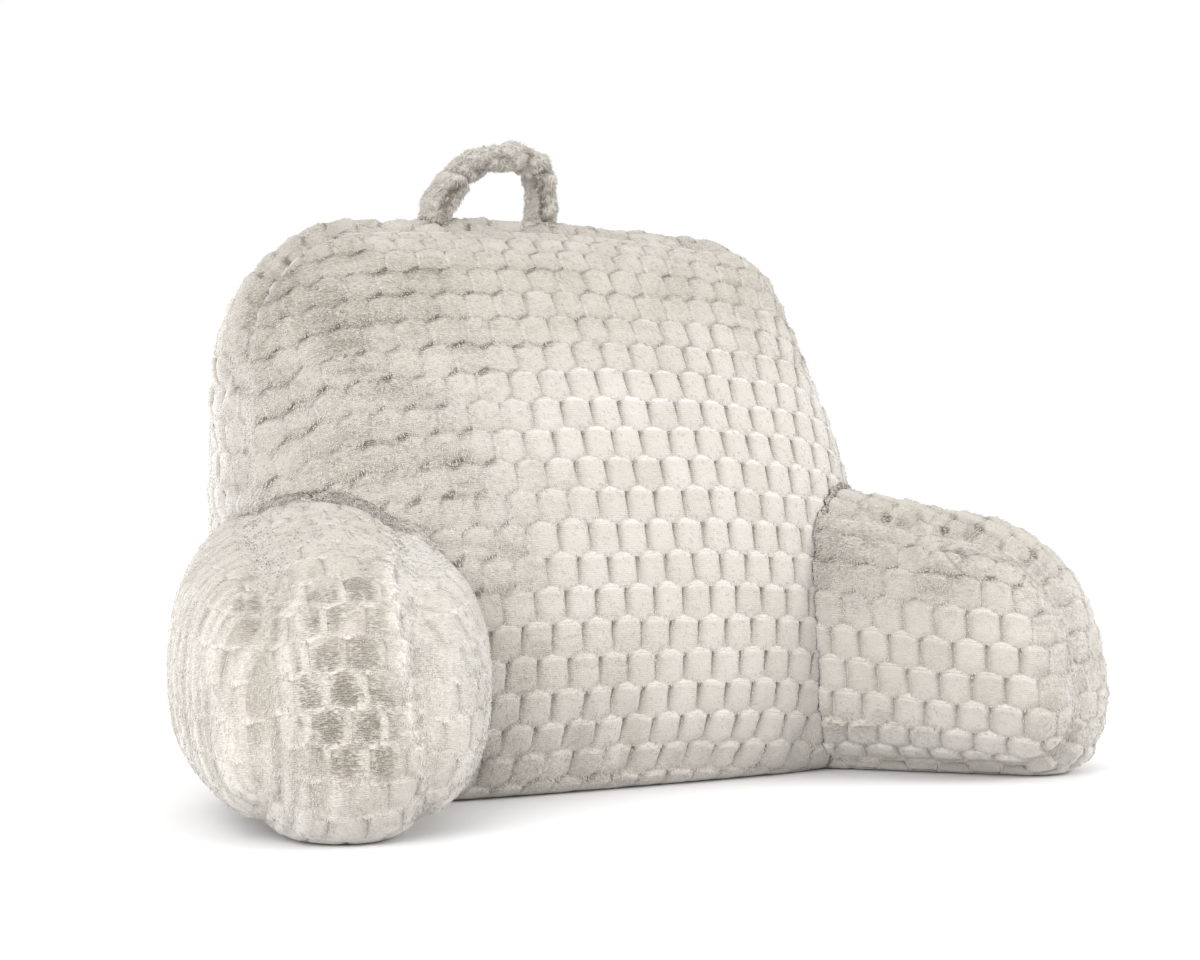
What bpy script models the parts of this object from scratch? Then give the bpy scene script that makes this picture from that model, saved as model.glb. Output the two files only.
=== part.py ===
"""Reading pillow with arms: a filled back cushion, two filled arms and a carry handle.

Metres, +Z up, +X to the right of someone facing the pillow, -Y to the front. The
origin is on the floor, under the middle of the pillow's box.
"""

import math

import bmesh
import bpy
import numpy as np
from mathutils import Vector

seam_gap = 0.0003            # clear space between two sewn pieces
facet_allowance = 0.0001     # added to the gap, because flat facets cut across a curve
floor_softness = 0.012       # height over which a filled base flattens on the floor
arc_steps = 12               # steps in half of an outline corner

# Front panel, rear panel and the gusset strip that joins them, filled as one cushion.
back = {
    "base_height": -0.014,       # the base outline lies under the floor, so the base is flat
    "seam_height": 0.445,        # top of the front panel's seam
    "half_width_base": 0.252,
    "half_width_top": 0.242,
    "base_corner": 0.030,
    "top_left_corner": 0.104,
    "top_right_corner": 0.034,
    "top_drop_left": 0.006,      # how far the top seam falls from its middle to a corner
    "top_drop_right": 0.014,
    "side_swell": 0.035,         # how far each side swells past a straight line
    "swell_bias": 0.81,          # under 1 the sides swell most below the middle
    "top_recede": 0.137,         # how far the top seam lies behind the base seam
    "recede_power": 1.55,
    "depth_base": 0.242,
    "depth_top": 0.056,
    "rear_width_base": 0.72,     # rear panel's width over the front panel's
    "rear_width_top": 0.92,
    "rear_height": 0.992,        # rear panel's height over the front panel's
    "rear_lift": 0.026,          # the rear base seam is drawn up off the floor by this
    "front_crown": 0.085,
    "rear_crown": 0.030,
    "gusset_crown": 0.016,
    "crown_upturn": 0.94,        # radians by which the crown turns upward at the top
    "crown_low": 0.80,           # under 1 the front crown is fullest below the middle
    "crown_fullness": 0.61,
    "cells": (20, 6, 20),        # faces along width, depth and height
}

# Both arms are cut alike: an inner and an outer panel joined by a boxing strip.
arm = {
    "base_height": 0.016,
    "length": 0.154,
    "root_length": 0.140,        # how far the arm runs on into the back
    "rear_height": 0.226,
    "front_height": 0.182,
    "front_setback": 0.032,      # the front edge leans back by this at the top
    "strip_width": 0.108,
    "front_base_corner": 0.052,
    "front_top_corner": 0.111,
    "rear_corner": 0.030,
    "inner_crown": 0.059,
    "outer_crown": 0.059,
    "strip_crown": 0.018,
    "base_crown": 0.015,         # the strip bulges this much further where the arm stands on it
    "root_y": -0.050,
    "cells": (16, 8, 10),
}
arm_places = (
    # side of the back, splay from straight ahead in radians, x of the root, stretch, height
    {"name": "arm_right", "side": 1, "splay": 0.71, "root_x": 0.298, "stretch": 0.90, "tall": 0.98},
    {"name": "arm_left", "side": -1, "splay": 0.38, "root_x": 0.271, "stretch": 1.08, "tall": 1.0},
)

# A stuffed strap, bowed over the middle of the top and sewn in at the rear seam.
handle = {"thickness": 0.020, "width": 0.034, "y": 0.164}
handle_line = (
    # x, z of the strap's middle, from the left foot over the arch to the right foot
    {"x": -0.062, "z": 0.446},
    {"x": -0.061, "z": 0.456},
    {"x": -0.057, "z": 0.472},
    {"x": -0.044, "z": 0.491},
    {"x": -0.027, "z": 0.507},
    {"x": -0.003, "z": 0.515},
    {"x": 0.023, "z": 0.515},
    {"x": 0.039, "z": 0.507},
    {"x": 0.044, "z": 0.492},
    {"x": 0.044, "z": 0.474},
    {"x": 0.043, "z": 0.458},
    {"x": 0.043, "z": 0.446},
)

plush = {"colour": (0.80, 0.76, 0.70, 1.0), "roughness": 0.95}


def rounded_sides(corners, radii):
    """Four runs of a rounded quadrilateral: bottom, right, top and left, corner to corner.

    Each run starts and ends in the middle of a corner arc. Corners go round from
    bottom left. Bottom and top run to the right, left and right run upward.
    """
    corners = [np.array(corner, float) for corner in corners]
    arcs = []
    for index, corner in enumerate(corners):
        to_last = corners[index - 1] - corner
        to_next = corners[(index + 1) % 4] - corner
        to_last /= np.linalg.norm(to_last)
        to_next /= np.linalg.norm(to_next)
        half_angle = math.acos(float(to_last @ to_next)) / 2
        middle = to_last + to_next
        centre = corner + middle / np.linalg.norm(middle) * radii[index] / math.sin(half_angle)
        start = corner + to_last * radii[index] / math.tan(half_angle) - centre
        sweep = math.pi - 2 * half_angle
        turns = np.linspace(0, sweep, 2 * arc_steps + 1)
        across = np.array((-start[1], start[0]))
        arcs.append(centre + np.outer(np.cos(turns), start) + np.outer(np.sin(turns), across))
    runs = []
    for index in range(4):
        first, second = arcs[index], arcs[(index + 1) % 4]
        runs.append(np.vstack((first[arc_steps:], second[: arc_steps + 1])))
    bottom, right, top, left = runs
    return {"bottom": bottom, "right": right, "top": top[::-1], "left": left[::-1]}


def along(run, share):
    """The point at this share of a run's length."""
    lengths = np.r_[0, np.cumsum(np.linalg.norm(np.diff(run, axis=0), axis=1))]
    place = share * lengths[-1]
    return np.array((np.interp(place, lengths, run[:, 0]), np.interp(place, lengths, run[:, 1])))


def panel_point(sides, u, v):
    """A point inside the outline, blended from its four runs. u and v go from 0 to 1."""
    bottom, top = along(sides["bottom"], u), along(sides["top"], u)
    left, right = along(sides["left"], v), along(sides["right"], v)
    corners = (
        (1 - u) * (1 - v) * sides["bottom"][0]
        + u * (1 - v) * sides["bottom"][-1]
        + (1 - u) * v * sides["top"][0]
        + u * v * sides["top"][-1]
    )
    return (1 - v) * bottom + v * top + (1 - u) * left + u * right - corners


def outward(sides, u, v):
    """The outline's outward direction at a point of its edge."""
    step = 0.01
    if v in (0, 1):
        run = sides["top" if v else "bottom"]
        share, turn = u, -1 if v else 1
    else:
        run = sides["right" if u else "left"]
        share, turn = v, 1 if u else -1
    ahead = along(run, min(share + step, 1)) - along(run, max(share - step, 0))
    ahead *= turn / np.linalg.norm(ahead)
    return np.array((ahead[1], -ahead[0]))


def on_floor(height):
    """Lets a height sink softly onto the floor, so that what lay under it is flat."""
    if height >= floor_softness:
        return height
    if height <= -floor_softness:
        return 0.0
    return (height + floor_softness) ** 2 / (4 * floor_softness)


def swell(share, power):
    """A crown's height from 0 at either edge to 1 in the middle. share goes from -1 to 1."""
    return max(0.0, 1 - abs(share) ** power)


def back_point(sides, cube):
    """Places a point of the cube, each side of which runs from -1 to 1, on the back cushion."""
    u, v, depth = (cube.x + 1) / 2, (cube.z + 1) / 2, (cube.y + 1) / 2
    x, z = panel_point(sides, u, v)
    on_panel = depth in (0, 1)
    if not on_panel:
        x, z = np.array((x, z)) + outward(sides, u, v) * back["gusset_crown"] * swell(cube.y, 2.2)
    top_drop = back["top_drop_left"] if cube.x < 0 else back["top_drop_right"]
    z -= top_drop * abs(cube.x) ** 1.5 * v**4
    full_height = back["seam_height"] - back["base_height"]
    rise = min(max((z - back["base_height"]) / full_height, 0.0), 1.1)
    bow = 4 * min(rise, 1) ** back["swell_bias"] * (1 - min(rise, 1) ** back["swell_bias"])
    x *= 1 + back["side_swell"] * bow / back["half_width_base"]

    front_y = back["top_recede"] * rise ** back["recede_power"]
    rear_top = back["top_recede"] + back["depth_top"]
    rear_y = rear_top + (back["depth_base"] - rear_top) * (1 - min(rise, 1))
    narrowing = back["rear_width_base"]
    narrowing += (back["rear_width_top"] - back["rear_width_base"]) * min(rise, 1)
    x *= 1 - depth + depth * narrowing
    y = front_y + (rear_y - front_y) * depth
    z *= 1 - depth + depth * back["rear_height"]
    z += back["rear_lift"] * depth**4 * (1 - v) ** 6
    if on_panel:
        across = swell(cube.x, 2.4) ** 0.6
        if depth == 0:
            climb = math.sin(math.pi * v ** back["crown_low"])
            crown = back["front_crown"] * across * max(climb, 0) ** back["crown_fullness"]
            upturn = back["crown_upturn"] * v
            y -= crown * math.cos(upturn)
            z += crown * math.sin(upturn)
        else:
            y += back["rear_crown"] * across * max(math.sin(math.pi * v), 0) ** 0.6
    return Vector((x, y, on_floor(z)))


def arm_point(sides, cube, place):
    """Places a point of the cube on one arm. The cube's x runs from root to front."""
    u, v = (cube.x + 1) / 2, (cube.z + 1) / 2
    reach, z = panel_point(sides, u, v)
    half_gap = arm["strip_width"] / 2
    if abs(cube.y) == 1:
        fullness = math.sqrt(swell(cube.x, 2.4) * swell(cube.z, 2.2))
        crown = arm["inner_crown"] if cube.y < 0 else arm["outer_crown"]
        aside = cube.y * (half_gap + crown * fullness)
    else:
        way = outward(sides, u, v)
        bulge = arm["strip_crown"] + arm["base_crown"] * max(-way[1], 0) ** 2
        puff = way * bulge * swell(cube.y, 2.2)
        reach, z = reach + puff[0], z + puff[1]
        aside = cube.y * half_gap
    if reach > 0:
        reach *= place["stretch"]
    turn = place["splay"]
    x = place["root_x"] + reach * math.sin(turn) + aside * math.cos(turn)
    y = arm["root_y"] - reach * math.cos(turn) + aside * math.sin(turn)
    return Vector((place["side"] * x, y, on_floor(z * place["tall"])))


def filled_piece(name, cells, place_point):
    """A cube cut into a net of faces, each point of which is then placed on the filled form."""
    net = bmesh.new()
    bmesh.ops.create_cube(net, size=2)
    for axis, count in enumerate(cells):
        edges = []
        for edge in net.edges:
            span = edge.verts[0].co - edge.verts[1].co
            if abs(span[axis]) > 1e-6:
                edges.append(edge)
        bmesh.ops.subdivide_edges(net, edges=edges, cuts=count - 1, use_grid_fill=True)
    for point in net.verts:
        point.co = place_point(Vector(round(value, 6) for value in point.co))
    bmesh.ops.recalc_face_normals(net, faces=net.faces)
    bmesh.ops.triangulate(net, faces=net.faces)
    mesh = bpy.data.meshes.new(name)
    net.to_mesh(mesh)
    net.free()
    mesh.shade_smooth()
    return bpy.data.objects.new(name, mesh)


def make_back():
    low, high = back["base_height"], back["seam_height"]
    wide, narrow = back["half_width_base"], back["half_width_top"]
    corners = ((-wide, low), (wide, low), (narrow, high), (-narrow, high))
    low_corner = back["base_corner"]
    radii = (low_corner, low_corner, back["top_right_corner"], back["top_left_corner"])
    sides = rounded_sides(corners, radii)
    return filled_piece("back_cushion", back["cells"], lambda cube: back_point(sides, cube))


def make_arm(place):
    low, root = arm["base_height"], -arm["root_length"]
    corners = (
        (root, low),
        (arm["length"], low),
        (arm["length"] - arm["front_setback"], arm["front_height"]),
        (root, arm["rear_height"]),
    )
    radii = (
        arm["rear_corner"], arm["front_base_corner"], arm["front_top_corner"], arm["rear_corner"]
    )
    sides = rounded_sides(corners, radii)
    return filled_piece(place["name"], arm["cells"], lambda cube: arm_point(sides, cube, place))


def make_handle():
    """A flat strap with rounded edges, swept along the handle's line and capped."""
    curve = bpy.data.curves.new("carry_handle", "CURVE")
    curve.dimensions = "3D"
    curve.extrude = (handle["width"] - handle["thickness"]) / 2
    curve.bevel_depth = handle["thickness"] / 2
    curve.bevel_resolution = 2
    curve.use_fill_caps = True
    curve.resolution_u = 5
    spline = curve.splines.new("BEZIER")
    spline.bezier_points.add(len(handle_line) - 1)
    for point, row in zip(spline.bezier_points, handle_line):
        point.co = (row["x"], row["z"], 0)
        point.handle_left_type = "AUTO"
        point.handle_right_type = "AUTO"
    guide = bpy.data.objects.new("handle_guide", curve)
    guide.location.y = handle["y"]
    guide.rotation_euler.x = math.radians(90)
    parts.objects.link(guide)
    bpy.context.view_layer.update()
    graph = bpy.context.evaluated_depsgraph_get()
    mesh = bpy.data.meshes.new_from_object(guide.evaluated_get(graph))
    mesh.transform(guide.matrix_world)
    bpy.data.objects.remove(guide)
    net = bmesh.new()
    net.from_mesh(mesh)
    bmesh.ops.remove_doubles(net, verts=net.verts, dist=0.00005)
    bmesh.ops.recalc_face_normals(net, faces=net.faces)
    net.to_mesh(mesh)
    net.free()
    mesh.shade_smooth()
    return bpy.data.objects.new("carry_handle", mesh)


def swollen_copy(piece, name, growth):
    """A cutter: the piece with every point moved out along its normal."""
    net = bmesh.new()
    net.from_mesh(piece.data)
    net.normal_update()
    moves = [point.normal * growth for point in net.verts]
    for point, move in zip(net.verts, moves):
        point.co += move
    mesh = bpy.data.meshes.new(name)
    net.to_mesh(mesh)
    net.free()
    cutter = bpy.data.objects.new(name, mesh)
    cutter.hide_render = True
    cutter.display_type = "WIRE"
    cutters.objects.link(cutter)
    return cutter


def cut(piece, cutter):
    """Ends a piece at its seam with the back."""
    boolean = piece.modifiers.new("seam", "BOOLEAN")
    boolean.operation = "DIFFERENCE"
    boolean.solver = "EXACT"
    boolean.object = cutter


def box_of(pieces):
    """The lowest and highest corner of what the pieces fill once they are cut."""
    bpy.context.view_layer.update()
    graph = bpy.context.evaluated_depsgraph_get()
    corners = []
    for piece in pieces:
        if piece.type == "MESH":
            corners += [piece.matrix_world @ Vector(c) for c in piece.evaluated_get(graph).bound_box]
    low = Vector(min(corner[axis] for corner in corners) for axis in range(3))
    high = Vector(max(corner[axis] for corner in corners) for axis in range(3))
    return low, high


def plush_material():
    material = bpy.data.materials.new("embossed_plush")
    material.use_nodes = True
    shader = material.node_tree.nodes["Principled BSDF"]
    shader.inputs["Base Color"].default_value = plush["colour"]
    shader.inputs["Roughness"].default_value = plush["roughness"]
    shader.inputs["Metallic"].default_value = 0.0
    return material


for leftover in list(bpy.data.objects):
    bpy.data.objects.remove(leftover)
parts = bpy.data.collections.new("reading_pillow")
cutters = bpy.data.collections.new("cutters")
bpy.context.scene.collection.children.link(parts)
bpy.context.scene.collection.children.link(cutters)

back_cushion = make_back()
parts.objects.link(back_cushion)
seam_cutter = swollen_copy(back_cushion, "seam_cutter", seam_gap + facet_allowance)

for place in arm_places:
    cushion_arm = make_arm(place)
    parts.objects.link(cushion_arm)
    cut(cushion_arm, seam_cutter)

carry_handle = make_handle()
parts.objects.link(carry_handle)
cut(carry_handle, seam_cutter)

# The floor stand carries every piece, so that the box's middle comes over the origin.
floor_stand = bpy.data.objects.new("floor_stand", None)
parts.objects.link(floor_stand)
low, high = box_of(list(parts.objects))
for piece in (*parts.objects, seam_cutter):
    if piece is not floor_stand:
        piece.parent = floor_stand
floor_stand.location = (-(low.x + high.x) / 2, -(low.y + high.y) / 2, 0)

cloth = plush_material()
for piece in parts.objects:
    if piece is not floor_stand:
        piece.data.materials.append(cloth)
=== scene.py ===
import math

import bmesh
import bpy
import numpy as np
from mathutils import Matrix, Vector, noise
from mathutils.bvhtree import BVHTree


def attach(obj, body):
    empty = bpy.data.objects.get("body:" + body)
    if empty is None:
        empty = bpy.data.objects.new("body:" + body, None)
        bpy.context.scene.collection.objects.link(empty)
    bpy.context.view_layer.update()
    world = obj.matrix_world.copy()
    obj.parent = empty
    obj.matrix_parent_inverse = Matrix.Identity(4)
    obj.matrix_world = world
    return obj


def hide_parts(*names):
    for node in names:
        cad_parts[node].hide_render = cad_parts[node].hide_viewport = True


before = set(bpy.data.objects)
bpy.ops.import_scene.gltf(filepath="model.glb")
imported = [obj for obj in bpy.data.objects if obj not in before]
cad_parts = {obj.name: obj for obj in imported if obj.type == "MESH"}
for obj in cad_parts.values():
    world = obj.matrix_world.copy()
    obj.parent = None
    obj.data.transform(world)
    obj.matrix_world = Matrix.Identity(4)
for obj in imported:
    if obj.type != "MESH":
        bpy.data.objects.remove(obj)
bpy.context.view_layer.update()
scene = bpy.context.scene

# The pillow was drawn about its own middle, then moved so that its box is centred on the origin.
stand = np.array((-0.01646, -0.01852, 0.0))
floorSoftness = 0.012

# The plush is embossed with long hexagons, in metres of cloth.
cell = {
    "width": 0.0270,
    "rowStep": 0.0260,
    "tip": 0.0078,          # how far the middle of a cell's end reaches into the next row
    "upperCut": 0.0040,     # how much of the upper tip is flattened
    "lowerCut": 0.0016,
    "rounding": 0.0018,     # how softly the sides and ends of a cell meet
    "endRounding": 0.0020,
    "rise": 0.0022,         # depth of the grooves between cells
    "joinDepth": 0.14,      # share of that depth left along the slanted joins of the rows
    "joinWidth": 0.0026,
    "gapeDepth": 0.9,       # the share where a ruffled join gapes
    "lean": 0.0009,         # the upper end stands proud of the row above it
    "ruffledLean": 1.4,
    "lip": 0.0006,
    "lipWidth": 0.0022,
    "dome": 0.0007,
    "sag": 0.0010,
    "wander": 0.0022,
    "squared": 0.50,        # how far ruffling straightens the slanted joins
    "flattened": 0.5,       # how far drawing the cloth out flattens its cells
}

backShape = {
    "baseHeight": -0.014,
    "seamHeight": 0.445,
    "halfWidthBase": 0.252,
    "halfWidthTop": 0.242,
    "baseCorner": 0.030,
    "topLeftCorner": 0.104,
    "topRightCorner": 0.034,
    "topDrop": (0.006, 0.014),  # how far the top seam falls to the left and right corners
    "topDropPower": (1.5, 4),   # how late it falls, across and upward
    "sideSwell": 0.035,
    "swellBias": 0.81,
    "topRecede": 0.137,
    "recedePower": 1.55,
    "depthBase": 0.242,
    "depthTop": 0.056,
    "rearWidthBase": 0.72,
    "rearWidthTop": 0.92,
    "rearHeight": 0.992,
    "rearLift": 0.026,
    "rearLiftPower": (4, 6),    # how late the base lifts towards the rear, and how low down
    "frontCrown": 0.085,
    "rearCrown": 0.030,
    "gussetCrown": 0.016,
    "crownUpturn": 0.94,
    "crownLow": 0.80,
    "crownFullness": 0.61,
    "net": (264, 80, 232),   # faces along width, depth and height of the fine net
    "coarse": 2,             # only the front panel takes the whole of it
    "seamHides": 0.32,       # the height from which the cloth runs on over the seam
    "wall": 0.0026,          # width of the slope beside a groove
    "simStep": 8,
    "swellFrames": 16,
    "swellCap": 0.006,
    "mirrored": False,
    # the patches that one length of cloth passes over, and whether it runs their own way
    "chains": ((("right", False), ("bottom", False)), (("left", False),)),
    "phases": {"front": 0.004},
}

armShape = {
    "baseHeight": 0.016,
    "length": 0.154,
    "rootLength": 0.140,
    "rearHeight": 0.226,
    "frontHeight": 0.182,
    "frontSetback": 0.032,
    "stripWidth": 0.108,
    "frontBaseCorner": 0.052,
    "frontTopCorner": 0.111,
    "rearCorner": 0.030,
    "crown": 0.059,
    "stripCrown": 0.018,
    "baseCrown": 0.015,      # the strip bulges further where the arm stands on it
    "slimFrom": 0.45,        # how far along the panel its inner side gets slimmer towards the root
    "rootY": -0.050,
    "net": (144, 56, 112),
    "coarse": 1,
    "seamHides": 1.0,
    "wall": 0.0042,
    "simStep": 4,
    "swellFrames": 14,
    "swellCap": 0.005,
    "chains": ((("top", True), ("right", False), ("bottom", False)),),
    "phases": {},
}
armPlaces = (
    {"name": "rightArm", "node": "arm_right", "side": 1, "splay": 0.71, "rootX": 0.298,
     "stretch": 0.90, "tall": 0.98, "rootSlim": 0.45},
    {"name": "leftArm", "node": "arm_left", "side": -1, "splay": 0.38, "rootX": 0.271,
     "stretch": 1.08, "tall": 1.0, "rootSlim": 0.0},
)

# A crown stays flat over its panel, more so as its power grows, and falls to the panel's edges.
crownPower = {"panel": 2.4, "panelUp": 2.2, "strip": 2.2}
crownSoftness = 0.6

seam = {
    "ridge": 0.0026,
    "ridgeWidth": 0.0046,
    "valley": 0.0013,
    "valleyAt": 0.0085,
    "valleyWidth": 0.0030,
    "fade": 0.0075,
    "hiding": 0.85,          # how much of it is lost where the cloth runs on over it
    "hidingRise": 0.05,
}


def held(values):
    return np.clip(values, 0, 1)


def ramp(values, start, span):
    # 0 up to the start, 1 from a span further on
    return held((values - start) / span)


def shareOf(values, gain, loss):
    return held(values * gain - loss)


def unit(vectors):
    return vectors / np.maximum(np.linalg.norm(vectors, axis=-1, keepdims=True), 1e-12)


def cloudy(points, scale, seed):
    # a smooth random value for each point
    shift = Vector((seed * 7.3, seed * 3.1, seed * 5.7))
    return np.array([noise.noise(Vector(point) * scale + shift) for point in points])


def patchyShare(points, scale, seed, contrast=1.3):
    # 0 to 1 in soft patches
    return held(0.5 + contrast * cloudy(points, scale, seed))


def readAll(collection, label, width=1, kind=float):
    values = np.zeros(len(collection) * width, kind)
    collection.foreach_get(label, values)
    return values.reshape(-1, width) if width > 1 else values


def firstVertices(mesh):
    # the vertex that each face starts from
    corners = readAll(mesh.loops, "vertex_index", kind=int)
    return corners[readAll(mesh.polygons, "loop_start", kind=int)]


def store(mesh, label, values, kind="FLOAT", domain="POINT"):
    attribute = mesh.attributes.new(label, kind, domain)
    numbers = np.asarray(values, np.float32)
    attribute.data.foreach_set("value" if kind == "FLOAT" else "vector", numbers.ravel())


def addObject(name, data):
    made = bpy.data.objects.new(name, data)
    scene.collection.objects.link(made)
    return made


def editMesh(mesh, work):
    net = bmesh.new()
    net.from_mesh(mesh)
    work(net)
    net.to_mesh(mesh)
    net.free()


def roundedSides(corners, radii, steps=12):
    # four runs of a rounded quadrilateral, each from the middle of one corner arc to the next
    corners = [np.array(corner, float) for corner in corners]
    arcs = []
    for index, corner in enumerate(corners):
        toLast = corners[index - 1] - corner
        toNext = corners[(index + 1) % 4] - corner
        toLast /= np.linalg.norm(toLast)
        toNext /= np.linalg.norm(toNext)
        halfAngle = math.acos(float(toLast @ toNext)) / 2
        middle = toLast + toNext
        centre = corner + middle / np.linalg.norm(middle) * radii[index] / math.sin(halfAngle)
        start = corner + toLast * radii[index] / math.tan(halfAngle) - centre
        turns = np.linspace(0, math.pi - 2 * halfAngle, 2 * steps + 1)
        across = np.array((-start[1], start[0]))
        arcs.append(centre + np.outer(np.cos(turns), start) + np.outer(np.sin(turns), across))
    runs = []
    for index in range(4):
        runs.append(np.vstack((arcs[index][steps:], arcs[(index + 1) % 4][: steps + 1])))
    return {"bottom": runs[0], "right": runs[1], "top": runs[2][::-1], "left": runs[3][::-1]}


def alongRun(run, share):
    lengths = np.r_[0, np.cumsum(np.linalg.norm(np.diff(run, axis=0), axis=1))]
    place = np.asarray(share) * lengths[-1]
    return np.stack((np.interp(place, lengths, run[:, 0]), np.interp(place, lengths, run[:, 1])), -1)


def panelPoint(sides, u, v):
    bottom, top = alongRun(sides["bottom"], u), alongRun(sides["top"], u)
    left, right = alongRun(sides["left"], v), alongRun(sides["right"], v)
    u, v = u[..., None], v[..., None]
    corners = (
        (1 - u) * (1 - v) * sides["bottom"][0]
        + u * (1 - v) * sides["bottom"][-1]
        + (1 - u) * v * sides["top"][0]
        + u * v * sides["top"][-1]
    )
    return (1 - v) * bottom + v * top + (1 - u) * left + u * right - corners


def edgeOutward(sides, edge, share, near=0.01):
    turn = {"top": -1, "bottom": 1, "right": 1, "left": -1}[edge]
    ahead = alongRun(sides[edge], np.minimum(share + near, 1))
    ahead = (ahead - alongRun(sides[edge], np.maximum(share - near, 0))) * turn
    ahead /= np.linalg.norm(ahead, axis=-1, keepdims=True)
    return np.stack((ahead[..., 1], -ahead[..., 0]), -1)


def onFloor(height):
    soft = (height + floorSoftness) ** 2 / (4 * floorSoftness)
    return np.where(height >= floorSoftness, height, np.where(height <= -floorSoftness, 0.0, soft))


def swell(share, power):
    return np.maximum(0.0, 1 - np.abs(share) ** power)


def backPoint(shape, sides, patch, cube):
    cx, cy, cz = cube[..., 0], cube[..., 1], cube[..., 2]
    u, v, depth = (cx + 1) / 2, (cz + 1) / 2, (cy + 1) / 2
    flat = panelPoint(sides, u, v)
    if patch in sides:
        share = v if patch in ("left", "right") else u
        lift = shape["gussetCrown"] * swell(cy, crownPower["strip"])
        flat = flat + edgeOutward(sides, patch, share) * lift[..., None]
    x, z = flat[..., 0], flat[..., 1]
    acrossPower, upPower = shape["topDropPower"]
    z = z - np.where(cx < 0, *shape["topDrop"]) * np.abs(cx) ** acrossPower * v**upPower
    rise = np.clip((z - shape["baseHeight"]) / (shape["seamHeight"] - shape["baseHeight"]), 0, 1.1)
    capped = np.minimum(rise, 1)
    bow = 4 * capped ** shape["swellBias"] * (1 - capped ** shape["swellBias"])
    x = x * (1 + shape["sideSwell"] * bow / shape["halfWidthBase"])
    frontY = shape["topRecede"] * rise ** shape["recedePower"]
    rearTop = shape["topRecede"] + shape["depthTop"]
    rearY = rearTop + (shape["depthBase"] - rearTop) * (1 - capped)
    narrowing = shape["rearWidthBase"] + (shape["rearWidthTop"] - shape["rearWidthBase"]) * capped
    x = x * (1 - depth + depth * narrowing)
    y = frontY + (rearY - frontY) * depth
    z = z * (1 - depth + depth * shape["rearHeight"])
    rearPower, lowPower = shape["rearLiftPower"]
    z = z + shape["rearLift"] * depth**rearPower * (1 - v) ** lowPower
    across = swell(cx, crownPower["panel"]) ** crownSoftness
    if patch == "front":
        climb = np.maximum(np.sin(math.pi * v ** shape["crownLow"]), 0)
        crown = shape["frontCrown"] * across * climb ** shape["crownFullness"]
        upturn = shape["crownUpturn"] * v
        y = y - crown * np.cos(upturn)
        z = z + crown * np.sin(upturn)
    if patch == "rear":
        y = y + shape["rearCrown"] * across * np.maximum(np.sin(math.pi * v), 0) ** crownSoftness
    return np.stack((x, y, onFloor(z)), -1) + stand


def armPoint(shape, sides, patch, cube, place):
    cx, cy, cz = cube[..., 0], cube[..., 1], cube[..., 2]
    u, v = (cx + 1) / 2, (cz + 1) / 2
    flat = panelPoint(sides, u, v)
    aside = cy * shape["stripWidth"] / 2
    if patch in sides:
        share = v if patch in ("left", "right") else u
        outward = edgeOutward(sides, patch, share)
        puff = shape["stripCrown"] + shape["baseCrown"] * np.maximum(-outward[..., 1], 0) ** 2
        flat = flat + outward * (puff * swell(cy, crownPower["strip"]))[..., None]
    else:
        slim = 1 - place["rootSlim"] * held(shape["slimFrom"] - cx) ** 1.5 * (patch == "front")
        crown = swell(cx, crownPower["panel"]) * swell(cz, crownPower["panelUp"])
        aside = aside + cy * shape["crown"] * slim * np.sqrt(crown)
    reach, z = flat[..., 0], flat[..., 1]
    reach = np.where(reach > 0, reach * place["stretch"], reach)
    turn = place["splay"]
    x = place["rootX"] + reach * math.sin(turn) + aside * math.cos(turn)
    y = shape["rootY"] - reach * math.cos(turn) + aside * math.sin(turn)
    return np.stack((place["side"] * x, y, onFloor(z * place["tall"])), -1) + stand


# A filled piece is a cube's six patches: two panels, and the four lengths of the strip between them.
patches = (
    {"name": "front", "fixed": 1, "side": -1, "across": 0, "along": 2},
    {"name": "rear", "fixed": 1, "side": 1, "across": 0, "along": 2},
    {"name": "left", "fixed": 0, "side": -1, "across": 1, "along": 2},
    {"name": "right", "fixed": 0, "side": 1, "across": 1, "along": 2},
    {"name": "bottom", "fixed": 2, "side": -1, "across": 1, "along": 0},
    {"name": "top", "fixed": 2, "side": 1, "across": 1, "along": 0},
)
patchNames = [patch["name"] for patch in patches]
turnSign = {(0, 2): -1, (1, 2): 1, (1, 0): -1}


def patchKeys(patch, net, step):
    # whole-number places on the cube, one row for each step along the patch
    acrossSteps = np.arange(0, net[patch["across"]] + 1, step)
    alongSteps = np.arange(0, net[patch["along"]] + 1, step)
    keys = np.zeros((len(alongSteps), len(acrossSteps), 3), int)
    keys[..., patch["across"]] = acrossSteps[None, :]
    keys[..., patch["along"]] = alongSteps[:, None]
    keys[..., patch["fixed"]] = net[patch["fixed"]] if patch["side"] > 0 else 0
    return keys


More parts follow.
